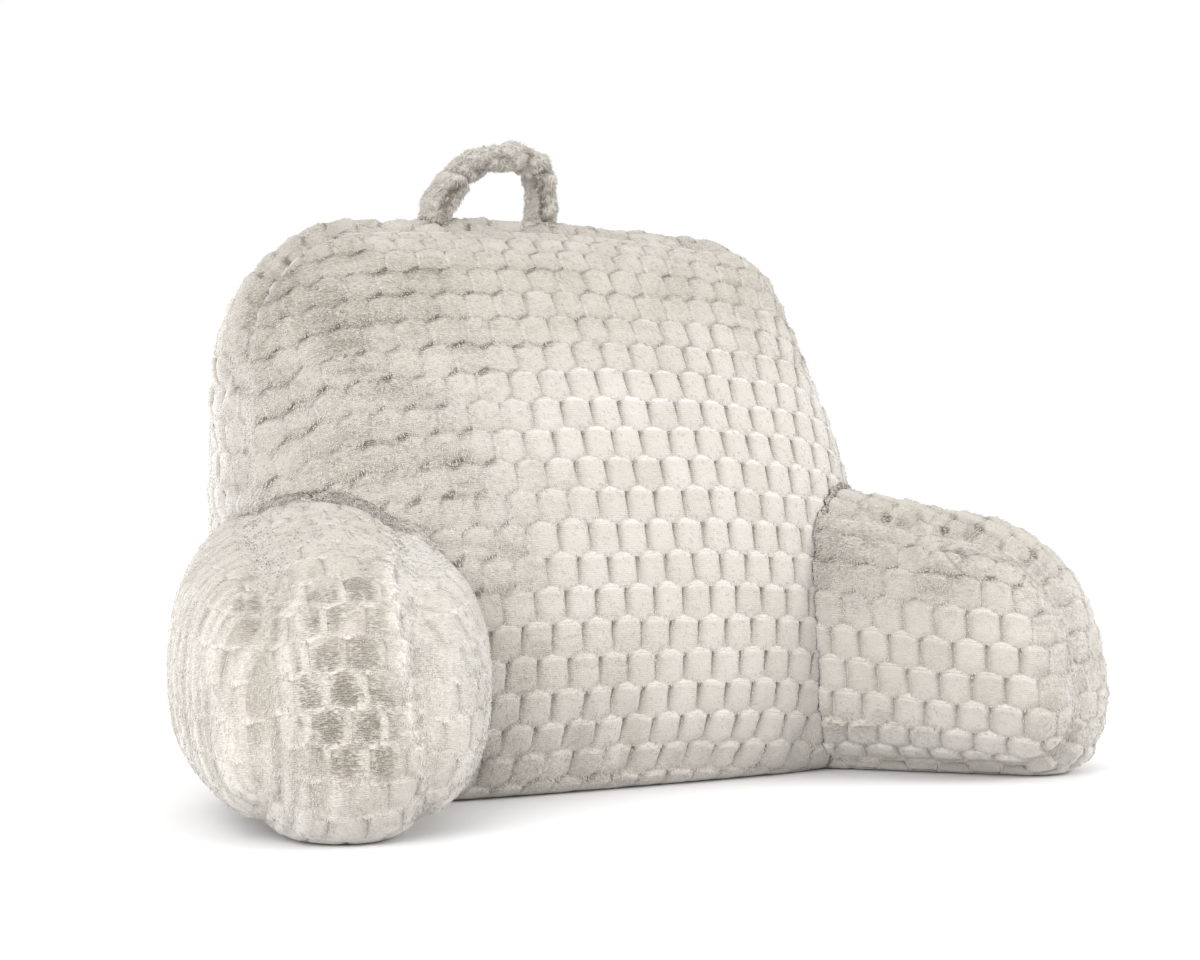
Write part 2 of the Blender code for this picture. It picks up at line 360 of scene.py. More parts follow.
def makeNet(net, steps, pointOf):
    # the patches share the points of their edges, so that the piece is closed
    pitch = np.array(((net[1] + 1) * (net[2] + 1), net[2] + 1, 1))
    grids = {}
    for patch in patches:
        keys = patchKeys(patch, net, steps[patch["name"]])
        # the corners of a turned face run the wrong way round
        turned = turnSign[(patch["across"], patch["along"])] != patch["side"]
        grids[patch["name"]] = {"keys": keys, "codes": keys @ pitch, "turned": turned}
    codes = np.unique(np.concatenate([grid["codes"].ravel() for grid in grids.values()]))
    points = np.zeros((len(codes), 3))
    for name, grid in grids.items():
        grid["index"] = np.searchsorted(codes, grid["codes"])
        points[grid["index"]] = pointOf(name, grid["keys"] / np.array(net) * 2 - 1)
    for grid in grids.values():
        grid["place"] = points[grid["index"]]
        rows, columns = np.indices((grid["index"].shape[0] - 1, grid["index"].shape[1] - 1))
        rows, columns = rows.ravel(), columns.ravel()
        grid["rows"] = np.stack((rows, rows, rows + 1, rows + 1), -1)
        grid["columns"] = np.stack((columns, columns + 1, columns + 1, columns), -1)
        grid["faces"] = grid["index"][grid["rows"], grid["columns"]]
    return grids, points, codes


def arcs(place, axis):
    # length along the net from its first row or column
    steps = np.linalg.norm(np.diff(place, axis=axis), axis=-1)
    total = np.cumsum(steps, axis=axis)
    start = np.zeros_like(np.take(total, [0], axis=axis))
    return np.concatenate((start, total), axis=axis)


def middleOf(values, axis):
    return np.take(values, [values.shape[axis] // 2], axis=axis)


def layCloth(grids, chains, phases):
    # where each point of the net lies on its flat piece of cloth, across and along the cells
    for name, grid in grids.items():
        across = arcs(grid["place"], 1)
        toSeam = np.minimum(across, across[:, -1:] - across)
        if name in ("front", "rear"):
            along = arcs(grid["place"], 0)
            grid["across"] = across - middleOf(across, 1)
            grid["along"] = along - middleOf(along, 0)
            grid["toSeam"] = np.minimum(toSeam, np.minimum(along, along[-1:] - along))
        else:
            grid["across"] = across - across[:, -1:] / 2
            grid["toSeam"] = toSeam
            grid["along"] = arcs(grid["place"][:, grid["place"].shape[1] // 2], 0)[:, None] + 0 * across
    for chain in chains:
        reached = 0.0
        for name, forward in chain:
            grid = grids[name]
            length = grid["along"].max()
            gone = grid["along"] if forward else length - grid["along"]
            grid["along"] = -(reached + gone)
            reached += length
    for name, along in phases.items():
        grids[name]["along"] = grids[name]["along"] + along


def smoothLeast(first, second, soft):
    gap = held(0.5 + 0.5 * (second - first) / soft)
    return second * (1 - gap) + first * gap - soft * gap * (1 - gap)


halfWidth = cell["width"] / 2


def cellPlace(across, along, ruffled):
    # depth in from the groove, and the direction out to it, for the cell that a point is in;
    # where the pile is ruffled the rows meet in straighter lines
    squared = 1 - cell["squared"] * ruffled
    slope = cell["tip"] * squared / halfWidth
    halfTall = cell["rowStep"] / 2 + cell["tip"] * squared / 2
    slantShare = 1 / np.hypot(1, slope)
    found = {"depth": np.full(across.shape, -1.0)}
    for extra in (0, 1):
        row = np.floor(along / cell["rowStep"]) + extra
        column = across / cell["width"] - (row % 2) / 2
        offAcross = (column - np.round(column)) * cell["width"]
        offAlong = along - row * cell["rowStep"]
        side = halfWidth - np.abs(offAcross)
        slant = (halfTall - np.abs(offAlong) - np.abs(offAcross) * slope) * slantShare
        cut = np.where(offAlong > 0, cell["upperCut"], cell["lowerCut"])
        end = halfTall - cut * squared - np.abs(offAlong)
        onSide = side < slant
        here = {
            "outAcross": np.where(onSide, 1.0, slope * slantShare) * np.sign(offAcross),
            "outAlong": np.where(onSide, 0.0, slantShare) * np.sign(offAlong),
            "lift": offAlong / halfTall,
            "leaning": offAcross / halfWidth,
            "toSide": side,
            "toEnd": smoothLeast(slant, end, cell["endRounding"]),
            "depth": smoothLeast(smoothLeast(side, slant, cell["rounding"]), end, cell["rounding"]),
        }
        better = here["depth"] > found["depth"]
        for label, values in here.items():
            found[label] = np.where(better, values, found.get(label, 0.0))
    found["depth"] = np.maximum(found["depth"], 0)
    return found


def cellHeight(at, snap, ruffled, drawn, wallWidth):
    # where the pile is ruffled the side grooves close up, and the joins that rise to one side gape;
    # where it is drawn out lengthwise the joins close instead
    lift, toEnd = at["lift"], at["toEnd"] - snap
    gaping = held(0.35 - 1.5 * at["leaning"] * np.sign(lift)) * ruffled
    wall = 1 - (1 - held((at["toSide"] - snap) / wallWidth)) ** 2
    join = 1 - (1 - held(toEnd / cell["joinWidth"])) ** 2
    height = cell["rise"] * (1 - np.clip(1 - 1.5 * ruffled, -0.15, 1) * (1 - wall))
    joinDepth = cell["joinDepth"] * (1 - ruffled) + cell["gapeDepth"] * gaping
    height -= cell["rise"] * joinDepth * (1 - join) * (1 - drawn)
    height += cell["dome"] * (1 - ruffled) * (1 - (1 - held((at["depth"] - snap) / halfWidth)) ** 2)
    lip = np.exp(-(((toEnd - cell["joinWidth"]) / cell["lipWidth"]) ** 2)) * np.clip(lift * 3, -0.6, 1)
    lean = cell["lean"] * (1 + cell["ruffledLean"] * ruffled) * lift
    height += (cell["lip"] * lip + lean) * wall * (1 - drawn)
    return height * (1 - cell["flattened"] * drawn)


def catmull(values, factor, axis):
    # finer rows between the given ones, passing through them
    values = np.moveaxis(values, axis, 0)
    padded = np.concatenate((2 * values[:1] - values[1:2], values, 2 * values[-1:] - values[-2:-1]))
    count = values.shape[0] - 1
    out = np.zeros((count * factor + 1,) + values.shape[1:])
    for part in range(factor):
        t = part / factor
        p0, p1, p2, p3 = (padded[first : first + count] for first in range(4))
        out[part : count * factor : factor] = 0.5 * (
            2 * p1 + (p2 - p0) * t + (2 * p0 - 5 * p1 + 4 * p2 - p3) * t**2
            + (3 * p1 - p0 - 3 * p2 + p3) * t**3
        )
    out[-1] = values[-1]
    return np.moveaxis(out, 0, axis)


clothSettings = {
    "quality": 5,
    "mass": 0.3,
    "tension_stiffness": 12,
    "compression_stiffness": 12,
    "shear_stiffness": 6,
    "bending_stiffness": 0.6,
    "use_pressure": True,
    "uniform_pressure_force": 4,
    "shrink_min": -0.015,
    "vertex_group_mass": "hold",
    "pin_stiffness": 1,
}
heldBase = 0.02   # the height below which the cloth is held to its base


def fillPiece(name, shape, pointOf):
    # the cloth is blown up a little by simulation, with its seams and its base held
    grids, points, _ = makeNet(shape["net"], dict.fromkeys(patchNames, shape["simStep"]), pointOf)
    faces = []
    for grid in grids.values():
        faces += (grid["faces"][:, ::-1] if grid["turned"] else grid["faces"]).tolist()
    mesh = bpy.data.meshes.new(name + "Shell")
    mesh.from_pydata(points.tolist(), [], faces)
    if shape["mirrored"]:
        mesh.flip_normals()
    shell = addObject(name + "Shell", mesh)
    hold = held(1 - points[:, 2] / heldBase)
    for key in ("front", "rear"):
        index = grids[key]["index"]
        hold[np.concatenate((index[0], index[-1], index[:, 0], index[:, -1]))] = 1
    group = shell.vertex_groups.new(name="hold")
    for vertex, weight in enumerate(hold):
        if weight > 0:
            group.add([vertex], float(weight), "REPLACE")
    cloth = shell.modifiers.new("cloth", "CLOTH")
    for label, value in clothSettings.items():
        setattr(cloth.settings, label, value)
    cloth.settings.effector_weights.gravity = 0
    cloth.point_cache.frame_start = 1
    cloth.point_cache.frame_end = shape["swellFrames"]
    for number in range(1, shape["swellFrames"] + 1):
        scene.frame_set(number)
    graph = bpy.context.evaluated_depsgraph_get()
    blown = readAll(shell.evaluated_get(graph).data.vertices, "co", 3)
    scene.frame_set(1)
    bpy.data.objects.remove(shell)
    moved = blown - points
    size = np.linalg.norm(moved, axis=1, keepdims=True)
    print(name, "cloth moved up to", round(float(size.max()) * 1000, 1), "mm")
    cap = shape["swellCap"]
    moved *= cap * np.tanh(size / cap) / np.maximum(size, 1e-9)
    return {key: moved[grid["index"]] for key, grid in grids.items()}


# Creases, folds and pleats: how far they stand out, in metres, and how finely they repeat.
crease = {
    "wanderScale": 16,
    "puckerScale": 42,
    "crumpleScale": 110,
    "pucker": 0.0011,
    "crumple": 0.0004,
    "fold": 0.0030,
    "foldScale": (20, 78),     # across and along the cloth
    "pleat": 0.0034,
    "pleatScale": (95, 13),
    "pleatBend": 0.006,
    "bendScale": 25,
    "ridge": 0.0038,
    "grooveSnap": 0.0011,      # points this close to a groove slide into it
    "snapFrom": 0.002,
    "snapOver": 0.004,
    "flatBase": 0.012,         # the relief fades below this height
}


def clothRelief(key, grid, looks, clouds, points, shape, step):
    # the height of the plush over one patch, and where its points slide along the cloth
    index, toSeam = grid["index"], grid["toSeam"]
    ruffled, drawn, crumples = looks["ruffled"][index], looks["drawn"][index], clouds["crumples"][index]
    across = grid["across"] + clouds["wander"][index]
    along = grid["along"] + clouds["wanderAlong"][index]
    at = cellPlace(across, along, ruffled)
    snap = np.where(at["depth"] < crease["grooveSnap"] * step, at["depth"], 0)
    snap *= ramp(toSeam, crease["snapFrom"], crease["snapOver"])
    across = across + at["outAcross"] * snap
    along = along + at["outAlong"] * snap
    height = cellHeight(at, snap, ruffled, drawn, shape["wall"])
    # the cloth runs on smoothly over the seam along the top
    hidden = ramp(points[index][..., 2], shape["seamHides"], seam["hidingRise"])
    fade = held(toSeam / (seam["fade"] * (1 - seam["hiding"] * hidden)))
    fade = fade * fade * (3 - 2 * fade)

    def wrinkles(first, second, scale, seed):
        # the length of the patch's name keeps its wrinkles unlike those beside it
        spots = np.stack((first * scale[0], second * scale[1], np.full(across.shape, len(key))), -1)
        return cloudy(spots.reshape(-1, 3), 1, seed).reshape(across.shape)

    # soft folds run across the cloth where it is ruffled, and along it where it is drawn out
    folds = wrinkles(across, along, crease["foldScale"], 9)
    looks["creased"][index] = held(-3 * folds - 0.45) * ruffled * (1 - drawn)
    height += (crease["fold"] * folds * (1 - drawn) + crease["crumple"] * crumples) * ruffled
    if drawn.any():
        bent = across + crease["pleatBend"] * np.sin(along * crease["bendScale"])
        pleats = wrinkles(bent, along, crease["pleatScale"], 10)
        height += crease["pleat"] * pleats * drawn**2
        looks["crest"][index] = 0.5 + np.clip(2.2 * pleats, -0.5, 0.5) * drawn
    height += crease["ridge"] * looks["fringe"][index] * (0.7 + 0.3 * crumples)
    low = np.clip(points[index][..., 2] / crease["flatBase"], 0.3, 1)
    height = (height + crease["pucker"] * clouds["puckers"][index] * (0.25 + 0.5 * ruffled)) * fade * low
    height += seam["ridge"] * (1 - seam["hiding"] * hidden) * np.exp(-((toSeam / seam["ridgeWidth"]) ** 2))
    fromValley = (toSeam - seam["valleyAt"]) / seam["valleyWidth"]
    height -= seam["valley"] * (1 - hidden) * np.exp(-(fromValley**2))
    looks["seamFade"][index] = fade
    hanging = held(-at["lift"] * 2 - 0.8) * held(1.4 - at["depth"] / 0.004)
    looks["hanging"][index] = hanging * fade
    slide = cell["sag"] * height / cell["rise"] * fade
    return across, along, height, at["outAcross"] * snap, at["outAlong"] * snap - slide


def plushFaces(grids, codes, steps):
    # the faces of all patches, with the place of each of their corners on the cloth
    faces, cloths = [], []
    for key, grid in grids.items():
        rows, columns, quads = grid["rows"], grid["columns"], grid["faces"]
        cloth = np.stack((grid["u"][rows, columns], grid["v"][rows, columns]), -1)
        onFront = grid["keys"][rows, columns, 1] == 0
        if grid["turned"]:
            quads, cloth, onFront = quads[:, ::-1], cloth[:, ::-1], onFront[:, ::-1]
        if steps[key] == 1 or key == "rear":
            faces += quads.tolist()
            cloths.append(cloth.reshape(-1, 2))
            continue
        # beside the finer front panel, a face takes in the point halfway along its edge
        for face, quad in enumerate(quads):
            loop, spots = [], []
            for corner in range(4):
                after = (corner + 1) % 4
                loop.append(int(quad[corner]))
                spots.append(cloth[face, corner])
                if onFront[face, corner] and onFront[face, after]:
                    middle = (codes[quad[corner]] + codes[quad[after]]) // 2
                    loop.append(int(np.searchsorted(codes, middle)))
                    spots.append((cloth[face, corner] + cloth[face, after]) / 2)
            faces.append(loop)
            cloths.append(np.array(spots))
    return faces, np.concatenate(cloths)


def plushPiece(name, shape, pointOf, ruffles):
    steps = dict(dict.fromkeys(patchNames, shape["coarse"]), front=1)
    grids, points, codes = makeNet(shape["net"], steps, pointOf)
    blown = fillPiece(name, shape, pointOf)
    for key, grid in grids.items():
        factor = shape["simStep"] // steps[key]
        points[grid["index"]] = grid["place"] + catmull(catmull(blown[key], factor, 0), factor, 1)
    points[:, 2] = np.maximum(points[:, 2], 0)
    for grid in grids.values():
        grid["place"] = points[grid["index"]]
    layCloth(grids, shape["chains"], shape["phases"])

    # normals and the directions across and along the cloth
    normals = np.zeros_like(points)
    for grid in grids.values():
        alongWay = np.gradient(grid["place"], axis=0)
        acrossWay = np.gradient(grid["place"], axis=1)
        grid["turned"] = grid["turned"] != shape["mirrored"]
        grid["normal"] = unit(np.cross(acrossWay, alongWay)) * (-1 if grid["turned"] else 1)
        grid["acrossWay"] = unit(acrossWay)
        grid["alongWay"] = unit(alongWay * np.sign(np.gradient(grid["along"], axis=0))[..., None])
        np.add.at(normals, grid["index"], grid["normal"])
    normals = unit(normals)

    clouds = {
        "wander": cloudy(points, crease["wanderScale"], 1) * cell["wander"],
        "wanderAlong": cloudy(points, crease["wanderScale"], 2) * cell["wander"],
        "puckers": cloudy(points, crease["puckerScale"], 3),
        "crumples": cloudy(points, crease["crumpleScale"], 4),
    }
    looks = ruffles(points, normals)
    for label, value in (("seamFade", 1.0), ("creased", 0.0), ("crest", 0.5), ("hanging", 0.0)):
        looks[label] = np.full(len(points), value)
    comb = np.zeros_like(points)
    finished = points.copy()
    for key, grid in grids.items():
        index = grid["index"]
        grid["u"], grid["v"], height, slideAcross, slideAlong = clothRelief(
            key, grid, looks, clouds, points, shape, steps[key]
        )
        spot = points[index] + grid["normal"] * height[..., None]
        spot = spot + grid["acrossWay"] * slideAcross[..., None]
        spot = spot + grid["alongWay"] * slideAlong[..., None]
        rim = grid["toSeam"] < 1e-6
        spot[rim] = (points[index] + normals[index] * height[..., None])[rim]
        finished[index] = spot
        comb[index] = -grid["alongWay"]
    finished[:, 2] = np.maximum(finished[:, 2], 0)
    looks["crest"] = np.maximum(looks["crest"], looks["fringe"])
    looks["fringe"] = np.maximum(looks.pop("hanging"), looks["fringe"])

    faces, cloth = plushFaces(grids, codes, steps)
    mesh = bpy.data.meshes.new(name)
    mesh.from_pydata(finished.tolist(), [], faces)
    mesh.uv_layers.new(name="cloth").data.foreach_set("uv", cloth.astype(np.float32).ravel())
    mesh.shade_smooth()
    for label, values in looks.items():
        store(mesh, label, values)
    store(mesh, "comb", comb, "FLOAT_VECTOR")
    print(name, "has", sum(len(face) - 2 for face in faces), "triangles")
    return addObject(name, mesh)


meeting = {"farthest": 0.35, "crossings": 6, "past": 0.0001, "merged": 0.00012}


def stopAt(piece, tree, way, gap=0.0009):
    # points inside the back slide out along the piece, so that it ends against the back
    past = meeting["past"]
    way = Vector(way).normalized()
    moved = 0
    for vertex in piece.data.vertices:
        origin, spot = vertex.co - way * past, None
        for _ in range(meeting["crossings"]):
            hit, normal, _, _ = tree.ray_cast(origin, way, meeting["farthest"])
            if hit is None:
                break
            if normal.dot(way) > 0:
                spot = hit + way * gap + normal * gap
            origin = hit + way * past * 2
        if spot is not None:
            vertex.co = spot
            vertex.co.z = max(vertex.co.z, 0.0)
            moved += 1
    editMesh(piece.data, lambda net: bmesh.ops.remove_doubles(net, verts=net.verts, dist=meeting["merged"]))
    print(piece.name, "ends against the back,", moved, "points moved")


# Surfaces: the tones of the pile, and how strongly each of its marks shows. The deep and deepest tones also
# serve as painted shade, and the rim tone as painted highlight.

plush = {
    "body": (0.534, 0.503, 0.468),
    "bodyWarm": (0.502, 0.470, 0.430),
    "combed": (0.420, 0.388, 0.338),
    "open": (0.300, 0.268, 0.218),
    "deep": (0.205, 0.182, 0.146),
    "deepest": (0.120, 0.102, 0.076),
    "root": (0.490, 0.455, 0.405),
    "rim": (0.72, 0.685, 0.635),
    "napDark": 0.30,
    "grooveDark": 0.62,
    "gapDark": 0.95,
    "bandDark": 0.30,
    "pleatDark": 0.6,
    "bankedDark": 0.18,
    "rimPale": 0.36,
    "creviceDark": 0.9,
    "ribStep": 0.0017,
    "sheen": 0.8,
    "sheenRoughness": 0.45,
    "sheenTint": (1.0, 0.985, 0.965),
    "specular": 0.1,
    "roughness": 0.95,
}

# How far each mark reaches in from the edge of a cell, in metres.
marks = {
    "band": (0.0052, 0.0022),
    "groove": 0.0012,
    "grooveRibs": 0.0009,
    "notch": 0.0044,
    "notchRuffled": 0.0012,
    "notchRagged": 0.0070,
    "notchCore": 0.0004,
    "gap": 0.0014,
    "gapRuffled": 0.0022,
    "gapOften": 0.0018,
    "gapRagged": 0.0130,
    "hung": 0.0026,
    "rim": (0.0030, 0.0010),
    "lined": 0.006,
    "crescent": 0.0008,
    "wall": 0.0018,
    "proud": 0.0013,
    "wobble": 0.0035,
    "wobbleRuffled": 0.006,
}

# How finely each grain repeats, in space or across and along the cloth, its detail and roughness.
spaceGrain = {"parted": (230.0, 3.0, 0.6), "clumps": (85.0, 2.0, 0.55), "drift": (11.0, 3.0, 0.5),
              "fine": (900.0, 2.0, 0.6)}
clothGrain = {"strokes": (760.0, 170.0, 2.0, 0.6), "dashes": (210.0, 520.0, 2.0, 0.6),
              "streaks": (75.0, 210.0, 3.0, 0.6), "fibres": (340.0, 900.0, 2.0, 0.6),
              "often": (16.0, 34.0, 2.0, 0.5)}


class Wire:
    # one output of a node, so that Math nodes can be written as sums
    def __init__(self, tree, socket):
        self.tree = tree
        self.socket = socket

    def __getitem__(self, output):
        return Wire(self.tree, self.socket.node.outputs[output])

    def __add__(self, other):
        return sums("ADD", self, other)

    def __sub__(self, other):
        return sums("SUBTRACT", self, other)

    def __rsub__(self, other):
        return sums("SUBTRACT", other, self)

    def __mul__(self, other):
        return sums("MULTIPLY", self, other)

    def __truediv__(self, other):
        return sums("DIVIDE", self, other)


def feed(tree, socket, value):
    if isinstance(value, Wire):
        tree.links.new(value.socket, socket)
    elif socket.type == "RGBA":
        socket.default_value = (*value, 1.0)
    else:
        socket.default_value = value


def put(tree, kind, inputs=None, output=0, **settings):
    # adds a node and gives back one of its outputs; its inputs may be numbers, colours or wires
    made = tree.nodes.new(kind)
    for key, value in settings.items():
        setattr(made, key, value)
    for key, value in (inputs or {}).items():
        feed(tree, made.inputs[key], value)
    return Wire(tree, made.outputs[output])


def sums(operation, *inputs, clamp=False):
    tree = next(value.tree for value in inputs if isinstance(value, Wire))
    return put(tree, "ShaderNodeMath", dict(enumerate(inputs)), operation=operation, use_clamp=clamp)


def largest(first, *others):
    for other in others:
        first = sums("MAXIMUM", first, other)
    return first


def ranged(value, low, high, bottom=0.0, top=1.0):
    limits = {"Value": value, "From Min": low, "From Max": high, "To Min": bottom, "To Max": top}
    return put(value.tree, "ShaderNodeMapRange", limits, "Result", interpolation_type="SMOOTHSTEP")


def blendColour(share, first, second):
    return put(share.tree, "ShaderNodeMix", {"Factor": share, 6: first, 7: second}, 2, data_type="RGBA")


def tinted(colour, share, tone):
    return blendColour(share, colour, plush[tone])


def grain(vector, scale, detail, rough):
    inputs = {"Vector": vector, "Scale": scale, "Detail": detail, "Roughness": rough}
    return put(vector.tree, "ShaderNodeTexNoise", inputs, "Fac")


def clothGrained(uv, label):
    across, along, detail, rough = clothGrain[label]
    stretched = put(uv.tree, "ShaderNodeMapping", {"Vector": uv, "Scale": (across, along, 1.0)}, "Vector")
    return grain(stretched, 1.0, detail, rough)


def named(tree, label, output="Fac"):
    return put(tree, "ShaderNodeAttribute", output=output, attribute_name=label)


def cellNodes(across, along, ruffled):
    # for the cell that a spot is in: height within it, distances in from its sides and ends,
    # place from side to side, and a random value of its own
    tree = across.tree
    squared = sums("MULTIPLY_ADD", ruffled, -cell["squared"], 1.0)
    slope = squared * (cell["tip"] / halfWidth)
    halfTall, upperEnd, lowerEnd = [
        sums("MULTIPLY_ADD", squared, cell["tip"] / 2 - cut, cell["rowStep"] / 2)
        for cut in (0.0, cell["upperCut"], cell["lowerCut"])
    ]
    slantShare = 1 / math.hypot(1, cell["tip"] / halfWidth)
    lower = sums("FLOOR", along / cell["rowStep"])
    rows = []
    for extra in (0.0, 1.0):
        row = lower + extra
        column = across / cell["width"] - sums("FLOORED_MODULO", row, 2.0) * 0.5
        whole = sums("ROUND", column)
        away = column - whole
        offAcross = sums("ABSOLUTE", away) * cell["width"]
        place = along - row * cell["rowStep"]
        side = halfWidth - offAcross
        slant = (halfTall - sums("ABSOLUTE", place) - offAcross * slope) * slantShare
        end = sums("MINIMUM", upperEnd - place, lowerEnd + place)
        toEnd = sums("SMOOTH_MIN", slant, end, cell["rounding"])
        key = put(tree, "ShaderNodeCombineXYZ", {"X": whole, "Y": row})
        rows.append({
            "depth": sums("SMOOTH_MIN", side, toEnd, cell["rounding"]),
            "height": place / halfTall,
            "toSide": side,
            "toEnd": toEnd,
            "leaning": away * 2.0,
            "chance": put(tree, "ShaderNodeTexWhiteNoise", {"Vector": key}, "Value", noise_dimensions="2D"),
        })
    depths = [row.pop("depth") for row in rows]
    upper = sums("GREATER_THAN", depths[1], depths[0])
    return {
        label: put(tree, "ShaderNodeMix", {"Factor": upper, 2: rows[0][label], 3: rows[1][label]})
        for label in rows[0]
    }


def pileShader(name, sheenTint):
    material = bpy.data.materials.new(name)
    material.use_nodes = True
    shader = material.node_tree.nodes["Principled BSDF"]
    for label, value in (
        ("Roughness", plush["roughness"]),
        ("Specular IOR Level", plush["specular"]),
        ("Sheen Weight", plush["sheen"]),
        ("Sheen Roughness", plush["sheenRoughness"]),
        ("Sheen Tint", sheenTint),
    ):
        feed(material.node_tree, shader.inputs[label], value)
    return material, material.node_tree, shader


def embossedMarks(tree, shader, colour, ruffled, opened, grains):
    # what shows on and between the cells; gives the colour, the fine relief and the fibres
    clumps, drift = grains["clumps"], grains["drift"]
    uv = put(tree, "ShaderNodeUVMap", uv_map="cloth")
    split = put(tree, "ShaderNodeSeparateXYZ", {"Vector": uv})
    # the backing's fine ribs run across the cloth
    wave = {"Vector": uv, "Scale": math.pi / 10 / plush["ribStep"], "Distortion": 3.2, "Detail": 2.0,
            "Detail Scale": 1.6}
    ribs = put(tree, "ShaderNodeTexWave", wave, "Fac", wave_type="BANDS", bands_direction="Y")
    strokes, dashes, streaks, often = [
        clothGrained(uv, label) for label in ("strokes", "dashes", "streaks", "often")
    ]
    labels = ("seamFade", "combed", "ribbed", "drawn", "creased", "crest", "fringe")
    seamFade, combed, ribbed, drawn, creased, crest, fringe = [named(tree, label) for label in labels]
    wobble = (clumps - 0.5) * (ruffled * marks["wobbleRuffled"] + marks["wobble"])
    at = cellNodes(split["X"] + wobble, split["Y"] + wobble, ruffled)
    height, toSide, toEnd, leaning, chance = at.values()
    kept = 1.0 - drawn * 0.9
    shown = seamFade * ranged(ruffled, 0.45, 0.05)
    beside = ranged(toSide, marks["lined"], 0.0)
    colour = tinted(colour, ranged(chance, 0.0, 1.0, 0.0, 0.10), "open")
    # the pile is painted darker where it is combed flat: partly the combed nap, partly painted shade on faces
    # turned upward
    colour = tinted(colour, combed * ranged(clumps, 0.35, 0.65, 1.0, 0.7), "combed")

    # cells whose pile stands open are darker inside, partly the pile's own darker tone and partly painted
    # shade, with a pale side
    offLeft = sums("ABSOLUTE", leaning - 0.24)
    inside = offLeft * offLeft * 2.0 + height * height * 1.3 + (clumps - 0.5) * 4.0 + (dashes - 0.5) * 3.0
    whether = ranged(opened + chance * 0.6, 0.45, 1.15) * seamFade
    openPile = ranged(inside, 1.70, 0.35) * whether
    speckle = ranged(dashes, 0.62, 0.40) * ranged(ribs, 0.9, 0.2, 0.5, 1.0)
    colour = tinted(colour, openPile * (speckle * 0.65 + 0.35), "open")
    colour = tinted(colour, openPile * speckle * 0.45, "deep")

    # one side of every cell is painted darker as shade, and the groove beside it is painted dark as shade
    nap = ranged(leaning, -0.25, -1.0) * ranged(height, -1.0, 0.4, 0.5, 1.0) * shown
    colour = tinted(colour, nap * plush["napDark"], "deep")
    # a wide band beside each side groove is painted darker as shade, broken by the ribs
    band = ranged(toSide, *marks["band"]) * ranged(ribs, 0.7, 0.2, 0.45, 1.0) * ribbed * shown
    colour = tinted(colour, band * plush["bandDark"], "deep")
    # the side groove is painted dark as shade
    groove = ranged(toSide, ribs * marks["grooveRibs"] + marks["groove"], 0.0)
    groove = groove * ranged(height, -0.6, 0.7, 0.3, 1.0) * shown * (1.0 - drawn * 0.6)
    # the lower end of each cell, just above the rim of the row below, is painted darker as shadow
    hung = ranged(toEnd, marks["hung"], 0.0) * ranged(height, -0.4, -0.8)
    hung = hung * ranged(strokes, 0.62, 0.40) * seamFade * 0.3
    colour = tinted(colour, largest(groove, hung * kept) * plush["grooveDark"], "deep")

    # the row above hangs over the upper corners of each cell and its shadow is painted there, the join gapes
    # where it is ruffled and is painted dark as shade, and the troughs of creases are painted dark as shade
    corner = sums("SQRT", toSide * toSide + toEnd * toEnd)
    reach = ruffled * marks["notchRuffled"] + marks["notch"] + (strokes - 0.5) * marks["notchRagged"]
    notch = ranged(corner, reach, marks["notchCore"]) * ranged(height, 0.0, 0.3)
    notch = notch * ranged(leaning, 0.9, -0.9, 0.35, 1.0) * seamFade * ranged(chance, 0.0, 1.0, 0.6, 1.0)
    often = ranged(often, 0.44, 0.60)
    rising = largest(ranged(leaning * height, 0.02, -0.25), often * 0.5)
    gap = ruffled * marks["gapRuffled"] + marks["gap"] + often * marks["gapOften"]
    gap = gap + (streaks - 0.5) * marks["gapRagged"]
    tick = ranged(toEnd, gap, 0.0) * rising * ranged(ruffled, 0.0, 0.5, 0.2, 1.0) * seamFade
    tick = tick * ranged(combed, 0.0, 0.35, 0.25, 1.0) * (often * 0.9 + 0.55)
    creaseShade = creased * ranged(dashes, 0.66, 0.40) * 0.6
    colour = tinted(colour, largest(notch, tick, creaseShade) * kept * plush["gapDark"], "deepest")
    # the troughs between pleats are painted darker as shade
    pleatTroughShade = ranged(crest, 0.45, 0.10) * drawn * ranged(strokes, 0.66, 0.36, 0.4, 1.0)
    colour = tinted(colour, pleatTroughShade * plush["pleatDark"], "deep")
    # ruffled cells are painted darker towards their lower end, as shade
    banked = ranged(height, 0.6, -1.0) * ruffled * seamFade * kept
    colour = tinted(colour, banked * plush["bankedDark"], "deep")

    # upper edges, pale cell sides, ridges, crests and seams are painted pale as highlights
    edge = ranged(toEnd, *marks["rim"]) * ranged(height, 0.30, 0.65) * shown * kept
    edge = edge * ranged(leaning, -0.8, -0.4)
    crescent = whether * ranged(leaning, -0.40, -0.85) * ranged(toSide, 0.0, marks["crescent"]) * 0.7
    ridgeHighlight = ranged(ruffled, 0.1, 0.5) * ranged(leaning, -0.70, -0.90) * ranged(chance, 0.25, 0.6)
    ridge = largest(crescent, ridgeHighlight * 1.9) * ranged(sums("ABSOLUTE", height), 0.85, 0.45) * seamFade
    rim = largest(
        edge,
        sums("MULTIPLY", ridge, 1.6, clamp=True),
        ranged(crest, 0.60, 0.95) * drawn,
        (1.0 - seamFade) * ranged(clumps, 0.3, 0.6) * (1.0 - drawn * 0.6),
        fringe * ranged(drawn, 0.0, 0.3) * 2.2,
    )
    colour = tinted(colour, rim * plush["rimPale"], "rim")
    lined = beside * 0.20 + 0.07 + ruffled * 0.10
    colour = tinted(colour, ranged(ribs, 0.55, 0.1) * lined * ranged(drift, 0.3, 0.6), "deep")
